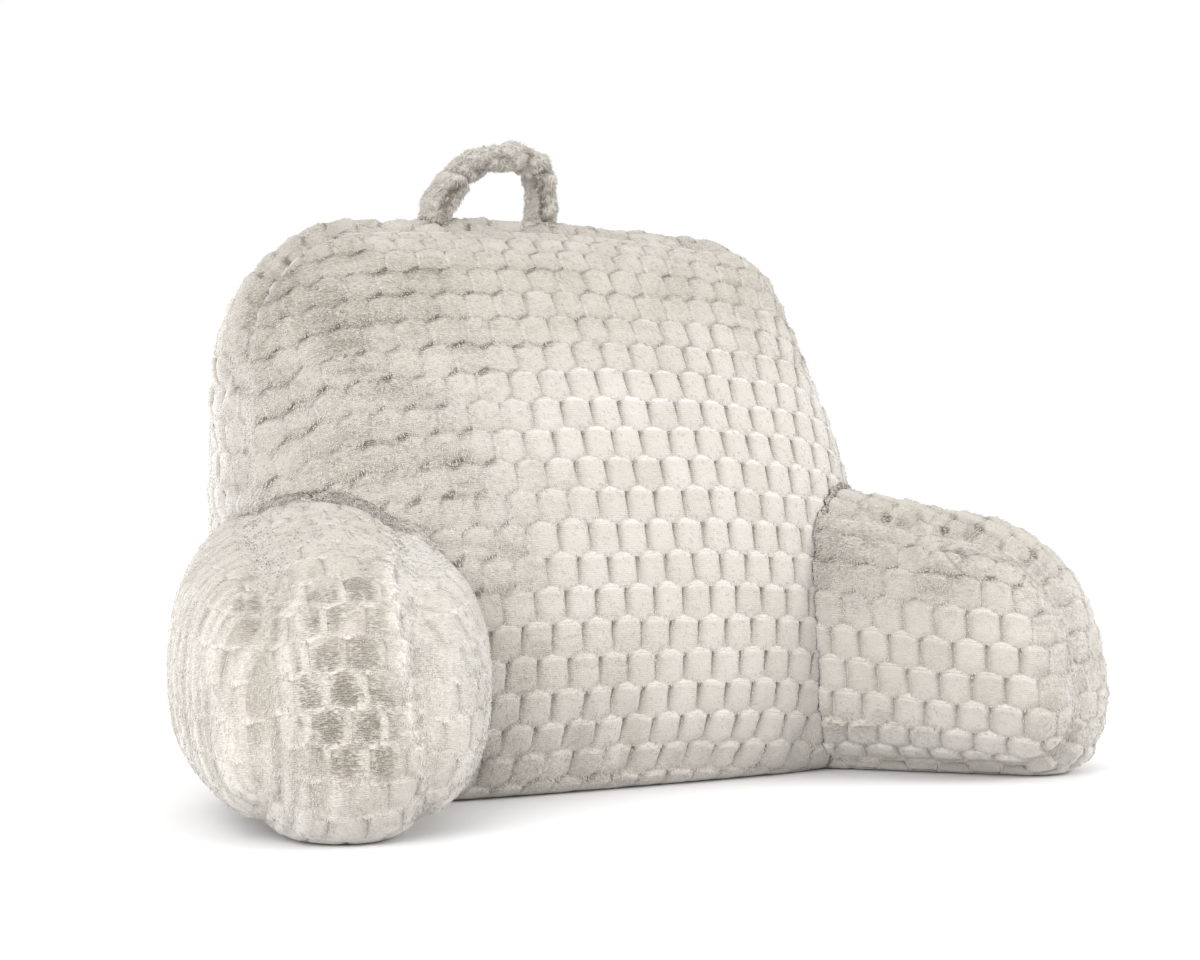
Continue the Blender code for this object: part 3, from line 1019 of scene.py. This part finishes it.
    # the sheen falls where the pile is combed flat and painted darker as shade
    feed(tree, shader.inputs["Sheen Weight"], (1.0 - combed * 0.75) * plush["sheen"])

    strong = largest(openPile, ruffled)
    level = ribs * (strong * 0.35 + 0.12 + beside * 0.2)
    level = level + (dashes * 0.8 + strokes * 0.5) * (strong * 1.2 + 0.5)
    level = level + streaks * ruffled * 1.8 + speckle * openPile * -1.2
    level = level + ranged(toSide, 0.0, marks["wall"]) * 0.8 * shown + ridge * 0.9
    proud = ranged(toEnd, 0.0, marks["proud"]) * ranged(height, -0.9, 0.9) * shown
    return colour, level + proud * 1.3, clothGrained(uv, "fibres")


def shaggyMarks(spot, colour, opened, grains):
    # long pile parts here and there; its partings and folds are painted dark as shade, darkest in the folds
    parted = grains["parted"]
    colour = tinted(colour, opened * 0.70 + 0.08, "open")
    colour = tinted(colour, ranged(parted, 0.55, 0.70) * 0.5, "rim")
    colour = tinted(colour, ranged(parted, 0.56, 0.38) * 0.8, "deep")
    colour = tinted(colour, opened * ranged(parted, 0.78, 0.42), "deepest")
    return colour, grain(spot, 500.0, 2.0, 0.6), grains["fine"]


def plushMaterial(name, embossed):
    material, tree, shader = pileShader(name, plush["sheenTint"])
    spot = put(tree, "ShaderNodeTexCoord", output="Object")
    ruffled, opened = named(tree, "ruffled"), named(tree, "opened")
    grains = {label: grain(spot, *settings) for label, settings in spaceGrain.items()}
    parted, clumps, fine = grains["parted"], grains["clumps"], grains["fine"]
    colour = blendColour(ranged(grains["drift"], 0.35, 0.65), plush["bodyWarm"], plush["body"])
    woolly = ruffled * 0.34
    if embossed:
        colour, level, fibres = embossedMarks(tree, shader, colour, ruffled, opened, grains)
        woolly = woolly + named(tree, "combed") * 0.10 + named(tree, "drawn") * 0.16
    else:
        colour, level, fibres = shaggyMarks(spot, colour, opened, grains)
    # crevices in ruffled pile are painted dark as shade
    crevice = ranged(parted, 0.50, 0.36) * ranged(clumps, 0.60, 0.42) * ruffled * 0.7
    colour = tinted(colour, crevice * plush["creviceDark"], "deep")
    # woolly grain, strongest where the pile is ruffled
    colour = tinted(colour, ranged(fine, 0.60, 0.38) * 0.14, "deep")
    colour = tinted(colour, ranged(fibres, 0.56, 0.36) * woolly, "deep")
    colour = tinted(colour, ranged(fibres, 0.50, 0.66) * woolly * 0.75, "rim")
    level = level + fine * 0.45 + fibres * woolly * 2.4
    level = level + parted * (ruffled * 1.6 + 0.5) + clumps * (ruffled * 1.6 + 0.9)
    bump = put(tree, "ShaderNodeBump", {"Strength": 1.0, "Distance": 0.001, "Height": level}, "Normal")
    feed(tree, shader.inputs["Normal"], bump)
    feed(tree, shader.inputs["Base Color"], colour)
    return material


def blob(points, centre, radius):
    away = (points - np.array(centre)) / np.array(radius)
    return np.exp(-np.sum(away**2, axis=1))


# Where the back's pile is ruffled: the middles and sizes of two patches, and heights. The pairs for
# facing and for the left patch's edge are the gain and the loss that make a share of 0 to 1.
backNap = {
    "left": ((-0.26, 0.02, 0.28), (0.17, 0.4, 0.16)),
    "leftEdge": (1.8, 0.25),
    "low": ((-0.12, -0.06, 0.10), (0.08, 0.1, 0.10)),
    "facingFront": (2, -0.35),
    "facingTop": (2, -1),
    "topFrom": 0.31,
    "topOver": 0.09,
    "baseUnder": 0.06,
    "cloudScale": 22,
    "ribbed": 0.15,
    # how strongly each place is ruffled, then combed flat and painted darker as shade
    "ruffled": {"left": 0.75, "top": 0.36, "low": 0.12, "base": 0.35, "everywhere": 0.05},
    "combed": {"left": 0.28, "top": 0.9, "low": 0.16},
    # what each of them keeps between the soft patches, and gains in them
    "patchyRuffles": (0.55, 0.45),
    "patchyLow": (0.3, 1),
    "patchyCombed": (0.75, 0.25),
    "opened": 0.18,
}


def backRuffles(points, normals):
    height = points[:, 2]
    patchy = patchyShare(points, backNap["cloudScale"], 5)
    facing = shareOf(-normals[:, 1], *backNap["facingFront"])
    left = shareOf(blob(points, *backNap["left"]), *backNap["leftEdge"]) * facing
    top = ramp(height, backNap["topFrom"], backNap["topOver"])
    top = top * shareOf(-normals[:, 1], *backNap["facingTop"])
    low = blob(points, *backNap["low"]) * facing
    base = held(1 - height / backNap["baseUnder"]) * facing
    share = backNap["ruffled"]
    kept, gained = backNap["patchyRuffles"]
    ruffled = (left * share["left"] + top * share["top"]) * (kept + gained * patchy)
    kept, gained = backNap["patchyLow"]
    lowRuffles = low * share["low"] + base * share["base"] + share["everywhere"]
    ruffled = ruffled + lowRuffles * (kept + gained * patchy)
    # the top rows, the left patch and the low places are painted darker, as combed nap and as painted shade
    share = backNap["combed"]
    kept, gained = backNap["patchyCombed"]
    combed = held(left * share["left"] + top * share["top"]) * (kept + gained * patchy)
    combed = combed + share["low"] * held(low + base)
    return {
        "ruffled": held(ruffled),
        "opened": backNap["opened"] * low * patchy,
        "combed": combed,
        "ribbed": np.full(len(points), backNap["ribbed"]),
        "drawn": np.zeros(len(points)),
        "fringe": np.zeros(len(points)),
    }


# The left arm's end has a band of open cells that slants down it, and beside it a ridge of pile.
armNap = {
    "cloudScale": 24,
    "topFrom": 0.125,
    "topOver": 0.05,
    "endFrom": 0.27,
    "endOver": 0.02,
    "acrossEnd": (0.847, -0.531, 0),
    "bandPlace": 0.190,
    "bandHeight": 0.104,
    "bandSlope": 0.45,
    "bandWidth": 0.030,
    "bandSpread": 0.30,
    "bandSpreadFrom": 0.06,
    "bandMiddle": 0.122,
    "bandReach": 0.086,
    "ridgePlace": 0.162,
    "ridgeHeight": 0.226,
    "ridgeSlope": 0.19,
    "ridgeWidth": 0.0042,
    "ridgeWander": 0.004,
    "ridgeFrom": 0.02,
    "ridgeOver": 0.03,
    "baseUnder": 0.07,
    "openSpot": ((0.19, -0.1, 0.05), (0.05, 0.2, 0.018)),
    "facingIn": (2, 0.4),
    "facingUp": (1.8, 0.6),
    "facingBeside": (2.2, 0.8),
    "facingEnd": (0.70, 0.15),
    "bandFacing": (2, 0.3),
    "ridgeFacing": (2, 0.1),
    # how strongly each place is ruffled, on the right arm and on the left one
    "ruffled": {"everywhere": 0.08, "top": 0.28, "inner": 0.8, "topEven": 0.35, "end": 0.30, "endEven": 0.5},
    "leftRuffled": {"everywhere": 0.16, "patchy": 0.26, "endBase": 0.10},
    "opened": {"band": 0.50, "patchy": 0.9, "spot": 0.55},
    # how strongly each place is combed flat and painted darker, partly as shade on faces turned upward
    "combed": {"inner": 0.18, "up": 0.75, "end": 0.35, "leftUp": 0.75, "pastRidge": 0.5, "band": 0.30},
    "ribbed": 0.6,
    "drawn": (0.35, 0.55),     # everywhere on the left arm, and more on its sides
}


def armRuffles(points, normals):
    nap, height, forward = armNap, points[:, 2], -normals[:, 1]
    left = points[:, 0] < 0
    patchy = patchyShare(points, nap["cloudScale"], 6)
    top = ramp(height, nap["topFrom"], nap["topOver"])
    inner = shareOf(-normals[:, 0] * np.sign(points[:, 0]), *nap["facingIn"])
    onEnd = ramp(np.abs(points[:, 0]), nap["endFrom"], nap["endOver"]) * ramp(forward, *nap["facingEnd"])
    upward = shareOf(normals[:, 2], *nap["facingUp"])
    turn = armPlaces[1]["splay"]
    sideWay = np.array((math.cos(turn), math.sin(turn), 0))
    beside = shareOf(np.abs(normals @ sideWay), *nap["facingBeside"])
    share = nap["ruffled"]
    onTop = top * (share["top"] + share["inner"] * inner) * (share["topEven"] + patchy)
    ruffled = share["everywhere"] + onTop + share["end"] * onEnd * (share["endEven"] + patchy)
    share = nap["leftRuffled"]
    leftRuffled = share["everywhere"] + share["patchy"] * patchy
    leftRuffled = leftRuffled - share["endBase"] * onEnd * held(1 - height / nap["baseUnder"])

    sideways = points @ np.array(nap["acrossEnd"])
    off = sideways + nap["bandPlace"] + (height - nap["bandHeight"]) * nap["bandSlope"]
    bandWidth = nap["bandWidth"] + nap["bandSpread"] * held(height - nap["bandSpreadFrom"])
    fromMiddle = (height - nap["bandMiddle"]) / nap["bandReach"]
    band = held(1.3 - (off / bandWidth) ** 2) * held(1 - fromMiddle**4)
    band = band * shareOf(forward, *nap["bandFacing"]) * left
    share = nap["opened"]
    opened = band * (share["band"] + share["patchy"] * patchy)
    opened = opened + share["spot"] * blob(points, *nap["openSpot"])
    past = sideways + nap["ridgePlace"] + (height - nap["ridgeHeight"]) * nap["ridgeSlope"]
    past = past + nap["ridgeWander"] * cloudy(points, 60, 7)
    fringe = np.exp(-((past / nap["ridgeWidth"]) ** 2)) * shareOf(forward, *nap["ridgeFacing"]) * left
    # the pile is painted darker where it is combed; on faces turned upward this is painted shade as well
    share = nap["combed"]
    combed = share["inner"] * top * inner + share["up"] * upward
    leftCombedAndShaded = (share["end"] * onEnd + share["leftUp"] * upward) * np.where(past < 0, 1, share["pastRidge"])
    leftCombedAndShaded = leftCombedAndShaded + share["band"] * band
    drawn, drawnBeside = nap["drawn"]
    return {
        "ruffled": held(np.where(left, leftRuffled, ruffled)),
        "opened": held(opened),
        "combed": held(np.where(left, leftCombedAndShaded, combed)),
        "ribbed": nap["ribbed"] * inner * (1 - left),
        "drawn": left * (drawn + drawnBeside * beside),
        "fringe": fringe * ramp(height, nap["ridgeFrom"], nap["ridgeOver"]),
    }


print("cushions")
low, high = backShape["baseHeight"], backShape["seamHeight"]
backSides = roundedSides(
    ((-backShape["halfWidthBase"], low), (backShape["halfWidthBase"], low),
     (backShape["halfWidthTop"], high), (-backShape["halfWidthTop"], high)),
    [backShape[corner] for corner in ("baseCorner", "baseCorner", "topRightCorner", "topLeftCorner")],
)
backCushion = plushPiece(
    "backCushion", backShape, lambda patch, cube: backPoint(backShape, backSides, patch, cube), backRuffles
)
backTree = BVHTree.FromPolygons(
    [v.co for v in backCushion.data.vertices], [tuple(f.vertices) for f in backCushion.data.polygons]
)

arms = []
low, root = armShape["baseHeight"], -armShape["rootLength"]
armSides = roundedSides(
    ((root, low), (armShape["length"], low),
     (armShape["length"] - armShape["frontSetback"], armShape["frontHeight"]),
     (root, armShape["rearHeight"])),
    [armShape[corner] for corner in ("rearCorner", "frontBaseCorner", "frontTopCorner", "rearCorner")],
)
for place in armPlaces:
    shape = dict(armShape, mirrored=place["side"] < 0)
    arm = plushPiece(
        place["name"], shape, lambda patch, cube: armPoint(shape, armSides, patch, cube, place), armRuffles
    )
    stopAt(arm, backTree, (place["side"] * math.sin(place["splay"]), -math.cos(place["splay"]), 0))
    arms.append(arm)

# The carry handle is a stuffed strap with long ruffled pile.
handleShape = {
    "line": (
        # x, z of the strap's middle, from the left foot over the arch to the right foot
        (-0.062, 0.446), (-0.061, 0.456), (-0.057, 0.472), (-0.044, 0.491), (-0.027, 0.507), (-0.003, 0.515),
        (0.023, 0.515), (0.039, 0.507), (0.044, 0.492), (0.044, 0.474), (0.043, 0.458), (0.043, 0.446),
    ),
    "y": 0.164,
    "halfThick": 0.0098,
    "halfWide": 0.0160,
    "roundness": 0.75,
    "rings": 230,
    "ringPoints": 72,
    "smoothing": 36,           # steps between two points of the line
    "turnWander": (0.5, 80, 13),
    # how far each kind of lump stands out, how finely it repeats, and its seed
    "lumps": ((0.0052, 62, 11), (0.0030, 150, 14), (0.0014, 330, 12)),
    "folds": (
        # share of the length, turn about the strap, length, width and depth
        (0.15, 3.30, 0.095, 0.60, 0.0062), (0.030, 3.10, 0.030, 0.70, 0.0040),
        (0.36, 3.60, 0.050, 0.50, 0.0042), (0.28, 3.10, 0.014, 1.20, 0.0034),
        (0.50, 3.55, 0.035, 0.50, 0.0034), (0.61, 3.30, 0.016, 1.20, 0.0030),
        (0.715, 3.50, 0.018, 1.40, 0.0052), (0.76, 4.30, 0.040, 0.60, 0.0046),
        (0.86, 3.85, 0.120, 0.32, 0.0058), (0.93, 3.20, 0.030, 0.60, 0.0040),
        (0.80, 3.10, 0.025, 0.50, 0.0030),
    ),
    "foldOpens": 0.0040,
    "ruffled": 0.7,
    "gap": 0.0006,
}


def makeHandle(shape):
    rings, count = shape["rings"], shape["ringPoints"]
    smooth = catmull(np.array(shape["line"]), shape["smoothing"], 0)
    lengths = np.r_[0, np.cumsum(np.linalg.norm(np.diff(smooth, axis=0), axis=1))]
    even = np.linspace(0, lengths[-1], rings)
    middle = np.stack([np.interp(even, lengths, smooth[:, axis]) for axis in (0, 1)], -1)
    ahead = unit(np.gradient(middle, axis=0))
    out = np.stack((-ahead[:, 1], ahead[:, 0]), -1)
    turns = np.linspace(0, 2 * math.pi, count, endpoint=False)
    wide, thick = [
        np.sign(wave) * np.abs(wave) ** shape["roundness"] * shape[half]
        for wave, half in ((np.cos(turns), "halfWide"), (np.sin(turns), "halfThick"))
    ]
    points, normals, comb = (np.zeros((rings, count, 3)) for _ in range(3))
    for axis, flatAxis in ((0, 0), (2, 1)):
        points[..., axis] = middle[:, None, flatAxis] + out[:, None, flatAxis] * thick
        normals[..., axis] = out[:, None, flatAxis] * np.sin(turns)
        comb[..., axis] = ahead[:, None, flatAxis]
    points[..., 1] = shape["y"] + wide
    normals[..., 1] = np.cos(turns)
    comb[: rings // 2] *= -1
    points = points.reshape(-1, 3)
    lumps = sum(cloudy(points, scale, seed) * size for size, scale, seed in shape["lumps"])
    share = np.repeat(np.linspace(0, 1, rings), count)
    wander, scale, seed = shape["turnWander"]
    turn = np.tile(turns, rings) + wander * cloudy(points, scale, seed)
    sunk = np.zeros(len(points))
    for place, angle, long, wide, deep in shape["folds"]:
        away = ((share - place) / long) ** 2 + ((turn - angle) / wide) ** 2
        sunk = np.maximum(sunk, deep * np.exp(-(away**1.5)))
    lumps -= sunk
    points = points + normals.reshape(-1, 3) * lumps[:, None] + stand
    faces = []
    for first in range(0, (rings - 1) * count, count):
        for spot in range(count):
            after = (spot + 1) % count
            faces.append((first + spot, first + after, first + count + after, first + count + spot))
    faces += [tuple(range(count))[::-1], tuple(range((rings - 1) * count, rings * count))]
    mesh = bpy.data.meshes.new("carryHandle")
    mesh.from_pydata(points.tolist(), [], faces)
    mesh.shade_smooth()
    # the pile is painted darker in the folds, as open pile and as shade
    opened = held(sunk / shape["foldOpens"])
    looks = {"ruffled": shape["ruffled"], "opened": opened, "seamFade": 1.0, "fringe": 0.0}
    for label, value in looks.items():
        store(mesh, label, np.zeros(len(points)) + value)
    store(mesh, "comb", comb, "FLOAT_VECTOR")
    editMesh(mesh, lambda net: bmesh.ops.recalc_face_normals(net, faces=net.faces))
    return addObject("carryHandle", mesh)


carryHandle = makeHandle(handleShape)
stopAt(carryHandle, backTree, (0, 0, 1), handleShape["gap"])

# Pile: small pointed locks that stand out of the cloth.
armLocks = {"count": 20000, "Length": 0.0036, "Width": 0.0013, "Lift": 0.8}
locks = {
    "backCushion": {"count": 38000, "Length": 0.0034, "Width": 0.0013, "Lift": 0.8},
    "rightArm": armLocks,
    "leftArm": armLocks,
    "carryHandle": {"count": 7000, "Length": 0.0040, "Width": 0.0012, "Lift": 0.9},
}
pileShape = {
    # how thickly it stands: everywhere, and more where these looks are strong
    "everywhere": 0.16,
    "ruffled": 0.4,
    "fringe": 1.6,
    "atSeams": 0.8,
    "upwardLoses": 0.7,
    "bareBelow": 0.005,
    "bareOver": 0.004,
    "lowest": 0.0002,        # no lock reaches nearer to the floor
    "softness": 0.93,        # how far a lock is shaded like the cloth it stands on
}


# What a lock gains where the pile is ruffled and has elsewhere, and the shares it varies between.
lockShape = {
    "lift": (0.9, 0.35),
    "stray": (0.28, 0.10),
    "long": (0.5, 0.6),
    "longVaries": (0.55, 1.2),
    "wideVaries": (0.6, 1.3),
    "sides": 3,
}


def lockTree(material):
    tree = bpy.data.node_groups.new("pileLocks", "GeometryNodeTree")
    tree.interface.new_socket("Geometry", in_out="OUTPUT", socket_type="NodeSocketGeometry")
    kinds = {"Geometry": "Geometry", "Density": "Float", "Length": "Float", "Width": "Float", "Lift": "Float",
             "Seed": "Int"}
    sockets = {
        label: tree.interface.new_socket(label, in_out="INPUT", socket_type="NodeSocket" + kind).identifier
        for label, kind in kinds.items()
    }
    start = put(tree, "NodeGroupInput")
    end = tree.nodes.new("NodeGroupOutput")

    def read(label, kind="FLOAT"):
        return put(tree, "GeometryNodeInputNamedAttribute", {"Name": label}, "Attribute", data_type=kind)

    def keep(geometry, label, value, kind):
        inputs = {"Geometry": geometry, "Name": label, "Value": value}
        return put(tree, "GeometryNodeStoreNamedAttribute", inputs, data_type=kind, domain="POINT")

    def joined(first, second, scale):
        scaled = put(tree, "ShaderNodeVectorMath", {0: second, "Scale": scale}, operation="SCALE")
        return put(tree, "ShaderNodeVectorMath", {0: first, 1: scaled}, operation="ADD")

    def chance(label, seed):
        low, high = lockShape[label]
        return put(tree, "FunctionNodeRandomValue", {2: low, 3: high, "Seed": seed}, 1, data_type="FLOAT")

    sown = {"Mesh": start, "Density": start["Density"] * read("pile"), "Seed": start["Seed"]}
    scatter = put(tree, "GeometryNodeDistributePointsOnFaces", sown, distribute_method="RANDOM")
    rooted = keep(scatter, "rootNormal", scatter["Normal"], "FLOAT_VECTOR")
    ruffled = read("ruffled")

    def shaped(label):
        gained, kept = lockShape[label]
        return ruffled * gained + kept

    lifted = start["Lift"] * shaped("lift")
    way = joined(read("comb", "FLOAT_VECTOR"), read("rootNormal", "FLOAT_VECTOR"), lifted)
    corners = {0: (-1, -1, -1), 1: (1, 1, 1), "Seed": 3}
    stray = put(tree, "FunctionNodeRandomValue", corners, data_type="FLOAT_VECTOR")
    way = joined(way, stray, shaped("stray"))
    turn = put(tree, "FunctionNodeAlignRotationToVector", {"Vector": way}, axis="Z")
    long = start["Length"] * (chance("longVaries", 5) * shaped("long"))
    wide = start["Width"] * chance("wideVaries", 6)
    size = put(tree, "ShaderNodeCombineXYZ", {"X": wide, "Y": wide, "Z": long})
    cone = {"Vertices": lockShape["sides"], "Radius Top": 0.0, "Radius Bottom": 0.5, "Depth": 1.0}
    lock = put(tree, "GeometryNodeMeshCone", cone, "Mesh", fill_type="NGON")
    along = put(tree, "ShaderNodeSeparateXYZ", {0: put(tree, "GeometryNodeInputPosition")}, "Z")
    lock = keep(lock, "tip", along, "FLOAT")
    standing = {"Points": rooted, "Instance": lock, "Rotation": turn, "Scale": size}
    spots = put(tree, "GeometryNodeInstanceOnPoints", standing)
    real = put(tree, "GeometryNodeRealizeInstances", {"Geometry": spots})
    finish = put(tree, "GeometryNodeSetMaterial", {"Geometry": real, "Material": material})
    feed(tree, end.inputs[0], finish)
    return tree, sockets


def growPile(piece, settings, tree, sockets, seed):
    mesh = piece.data
    ruffled, fringe, seamFade, opened = [
        readAll(mesh.attributes[label].data, "value", kind=np.float32)
        for label in ("ruffled", "fringe", "seamFade", "opened")
    ]
    height = readAll(mesh.vertices, "co", 3)[:, 2]
    upward = held(readAll(mesh.vertices, "normal", 3)[:, 2])
    pile = pileShape["everywhere"] + pileShape["ruffled"] * ruffled + pileShape["fringe"] * fringe
    pile = pile + pileShape["atSeams"] * (1 - seamFade)
    pile *= (
        ramp(height, pileShape["bareBelow"], pileShape["bareOver"])
        * (1 - pileShape["upwardLoses"] * upward)
        * np.clip(1.2 - 1.2 * opened, 0.1, 1)
    )
    store(mesh, "pile", pile)
    inputs = dict(settings, Seed=seed)
    covered = readAll(mesh.polygons, "area") * pile[firstVertices(mesh)]
    inputs["Density"] = inputs.pop("count") / float(covered.sum())
    host = addObject(piece.name + "PileHost", mesh)
    modifier = host.modifiers.new("pile", "NODES")
    modifier.node_group = tree
    for label, value in inputs.items():
        modifier[sockets[label]] = value
    bpy.context.view_layer.update()
    graph = bpy.context.evaluated_depsgraph_get()
    made = bpy.data.meshes.new_from_object(host.evaluated_get(graph))
    bpy.data.objects.remove(host)
    facing = readAll(made.polygons, "normal", 3, np.float32)
    rooted = readAll(made.attributes["rootNormal"].data, "vector", 3, np.float32)
    tips = readAll(made.vertices, "co", 3, np.float32)
    tips[:, 2] = np.maximum(tips[:, 2], pileShape["lowest"])
    made.vertices.foreach_set("co", tips.ravel())
    soft = unit(facing + pileShape["softness"] * rooted[firstVertices(made)])
    store(made, "softNormal", soft, "FLOAT_VECTOR", "FACE")
    print(piece.name, "has a pile of", sum(len(face.vertices) - 2 for face in made.polygons), "triangles")
    return addObject(piece.name + "Pile", made)


def lockMaterial():
    # the locks take up the tone of the cloth under them, with its painted shade and painted highlight
    material, tree, shader = pileShader("pileLocks", (1.0, 1.0, 1.0))
    spot = put(tree, "ShaderNodeTexCoord", output="Object")
    drift, parted = grain(spot, 60.0, 2.0, 0.5), grain(spot, *spaceGrain["parted"])
    colour = blendColour(ranged(drift, 0.3, 0.7), plush["body"], plush["bodyWarm"])
    colour = tinted(colour, named(tree, "combed") * 0.8, "combed")
    # locks on the fringe ridge are painted pale as highlight
    rimmed = sums("MULTIPLY", named(tree, "fringe"), 0.6, clamp=True)
    colour = tinted(colour, rimmed, "rim")
    colour = blendColour(ranged(named(tree, "tip"), 0.0, 0.8), plush["root"], colour)
    # where the pile parts open the locks are painted darkest, as shade
    sunk = named(tree, "opened") * ranged(parted, 0.75, 0.40)
    colour = tinted(colour, sunk * 0.9, "deepest")
    feed(tree, shader.inputs["Base Color"], colour)
    feed(tree, shader.inputs["Normal"], named(tree, "softNormal", "Vector"))
    return material


print("pile")
pileTree, pileSockets = lockTree(lockMaterial())
for number, piece in enumerate((backCushion, *arms, carryHandle)):
    pile = growPile(piece, locks[piece.name], pileTree, pileSockets, number + 1)
    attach(pile, "root")

print("finishes")
carryHandle.data.materials.append(plushMaterial("shaggyPlush", False))
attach(carryHandle, "root")
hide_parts("carry_handle")
embossedPlush = plushMaterial("embossedPlush", True)
for piece, place in zip([backCushion, *arms], [{"node": "back_cushion"}, *armPlaces]):
    piece.data.materials.append(embossedPlush)
    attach(piece, "root")
    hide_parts(place["node"])

print("floor, lights and camera")
room = {
    "half": 6,
    "drop": 0.0005,
    "deep": (0.82, 0.82, 0.82),       # under the pillow, so that its shadow shows
    "pale": (0.985, 0.985, 0.985),
    "deepWithin": 0.5,
    "paleFrom": 2.2,
    "roughness": 0.9,
    "daylight": 1.02,
}
half = room["half"]
floorMesh = bpy.data.meshes.new("floor")
outline = [(-half, -half, 0), (half, -half, 0), (half, half, 0), (-half, half, 0)]
floorMesh.from_pydata(outline, [], [(0, 1, 2, 3)])
floor = addObject("floor", floorMesh)
floor.location.z = -room["drop"]
paper = bpy.data.materials.new("paper")
paper.use_nodes = True
paperTree, sheet = paper.node_tree, paper.node_tree.nodes["Principled BSDF"]
spot = put(paperTree, "ShaderNodeTexCoord", output="Object")
around = put(paperTree, "ShaderNodeVectorMath", {0: spot}, "Value", operation="LENGTH")
tone = blendColour(ranged(around, room["deepWithin"], room["paleFrom"]), room["deep"], room["pale"])
feed(paperTree, sheet.inputs["Base Color"], tone)
sheet.inputs["Roughness"].default_value = room["roughness"]
floorMesh.materials.append(paper)

world = bpy.data.worlds.new("studio")
world.use_nodes = True
sky = world.node_tree.nodes["Background"]
sky.inputs["Color"].default_value = (1.0, 1.0, 1.0, 1)
sky.inputs["Strength"].default_value = room["daylight"]
scene.world = world

softBoxes = (
    {"name": "keyBox", "place": (1.7, -1.5, 1.0), "size": 1.1, "power": 30},
    {"name": "leftBox", "place": (-1.8, -1.3, 1.0), "size": 1.5, "power": 39},
    {"name": "topBox", "place": (0.2, 0.3, 2.4), "size": 1.6, "power": 5},
    {"name": "backBox", "place": (-0.6, 2.6, 1.3), "size": 1.6, "power": 22},
)
litSpot = Vector((0, 0, 0.2))
for box in softBoxes:
    light = bpy.data.lights.new(box["name"], "AREA")
    light.size = box["size"]
    light.energy = box["power"]
    lamp = addObject(box["name"], light)
    lamp.location = box["place"]
    lamp.rotation_euler = (litSpot - lamp.location).to_track_quat("-Z", "Y").to_euler()

view = {
    "turn": 0.5597,
    "dip": 0.0342,
    "away": 2.5256,
    "target": (-0.01576, -0.01852, 0.2463),
    "lens": 94.03,
}
camera = addObject("camera", bpy.data.cameras.new("camera"))
camera.data.lens = view["lens"]
camera.data.sensor_width = 36
turn, dip = view["turn"], view["dip"]
ahead = Vector((math.sin(turn) * math.cos(dip), math.cos(turn) * math.cos(dip), -math.sin(dip)))
rightWay = Vector((math.cos(turn), -math.sin(turn), 0))
upWay = rightWay.cross(ahead)
facing = Matrix((rightWay, upWay, -ahead)).transposed().to_4x4()
camera.matrix_world = Matrix.Translation(Vector(view["target"]) - ahead * view["away"]) @ facing
scene.camera = camera
scene.view_settings.view_transform = "Standard"
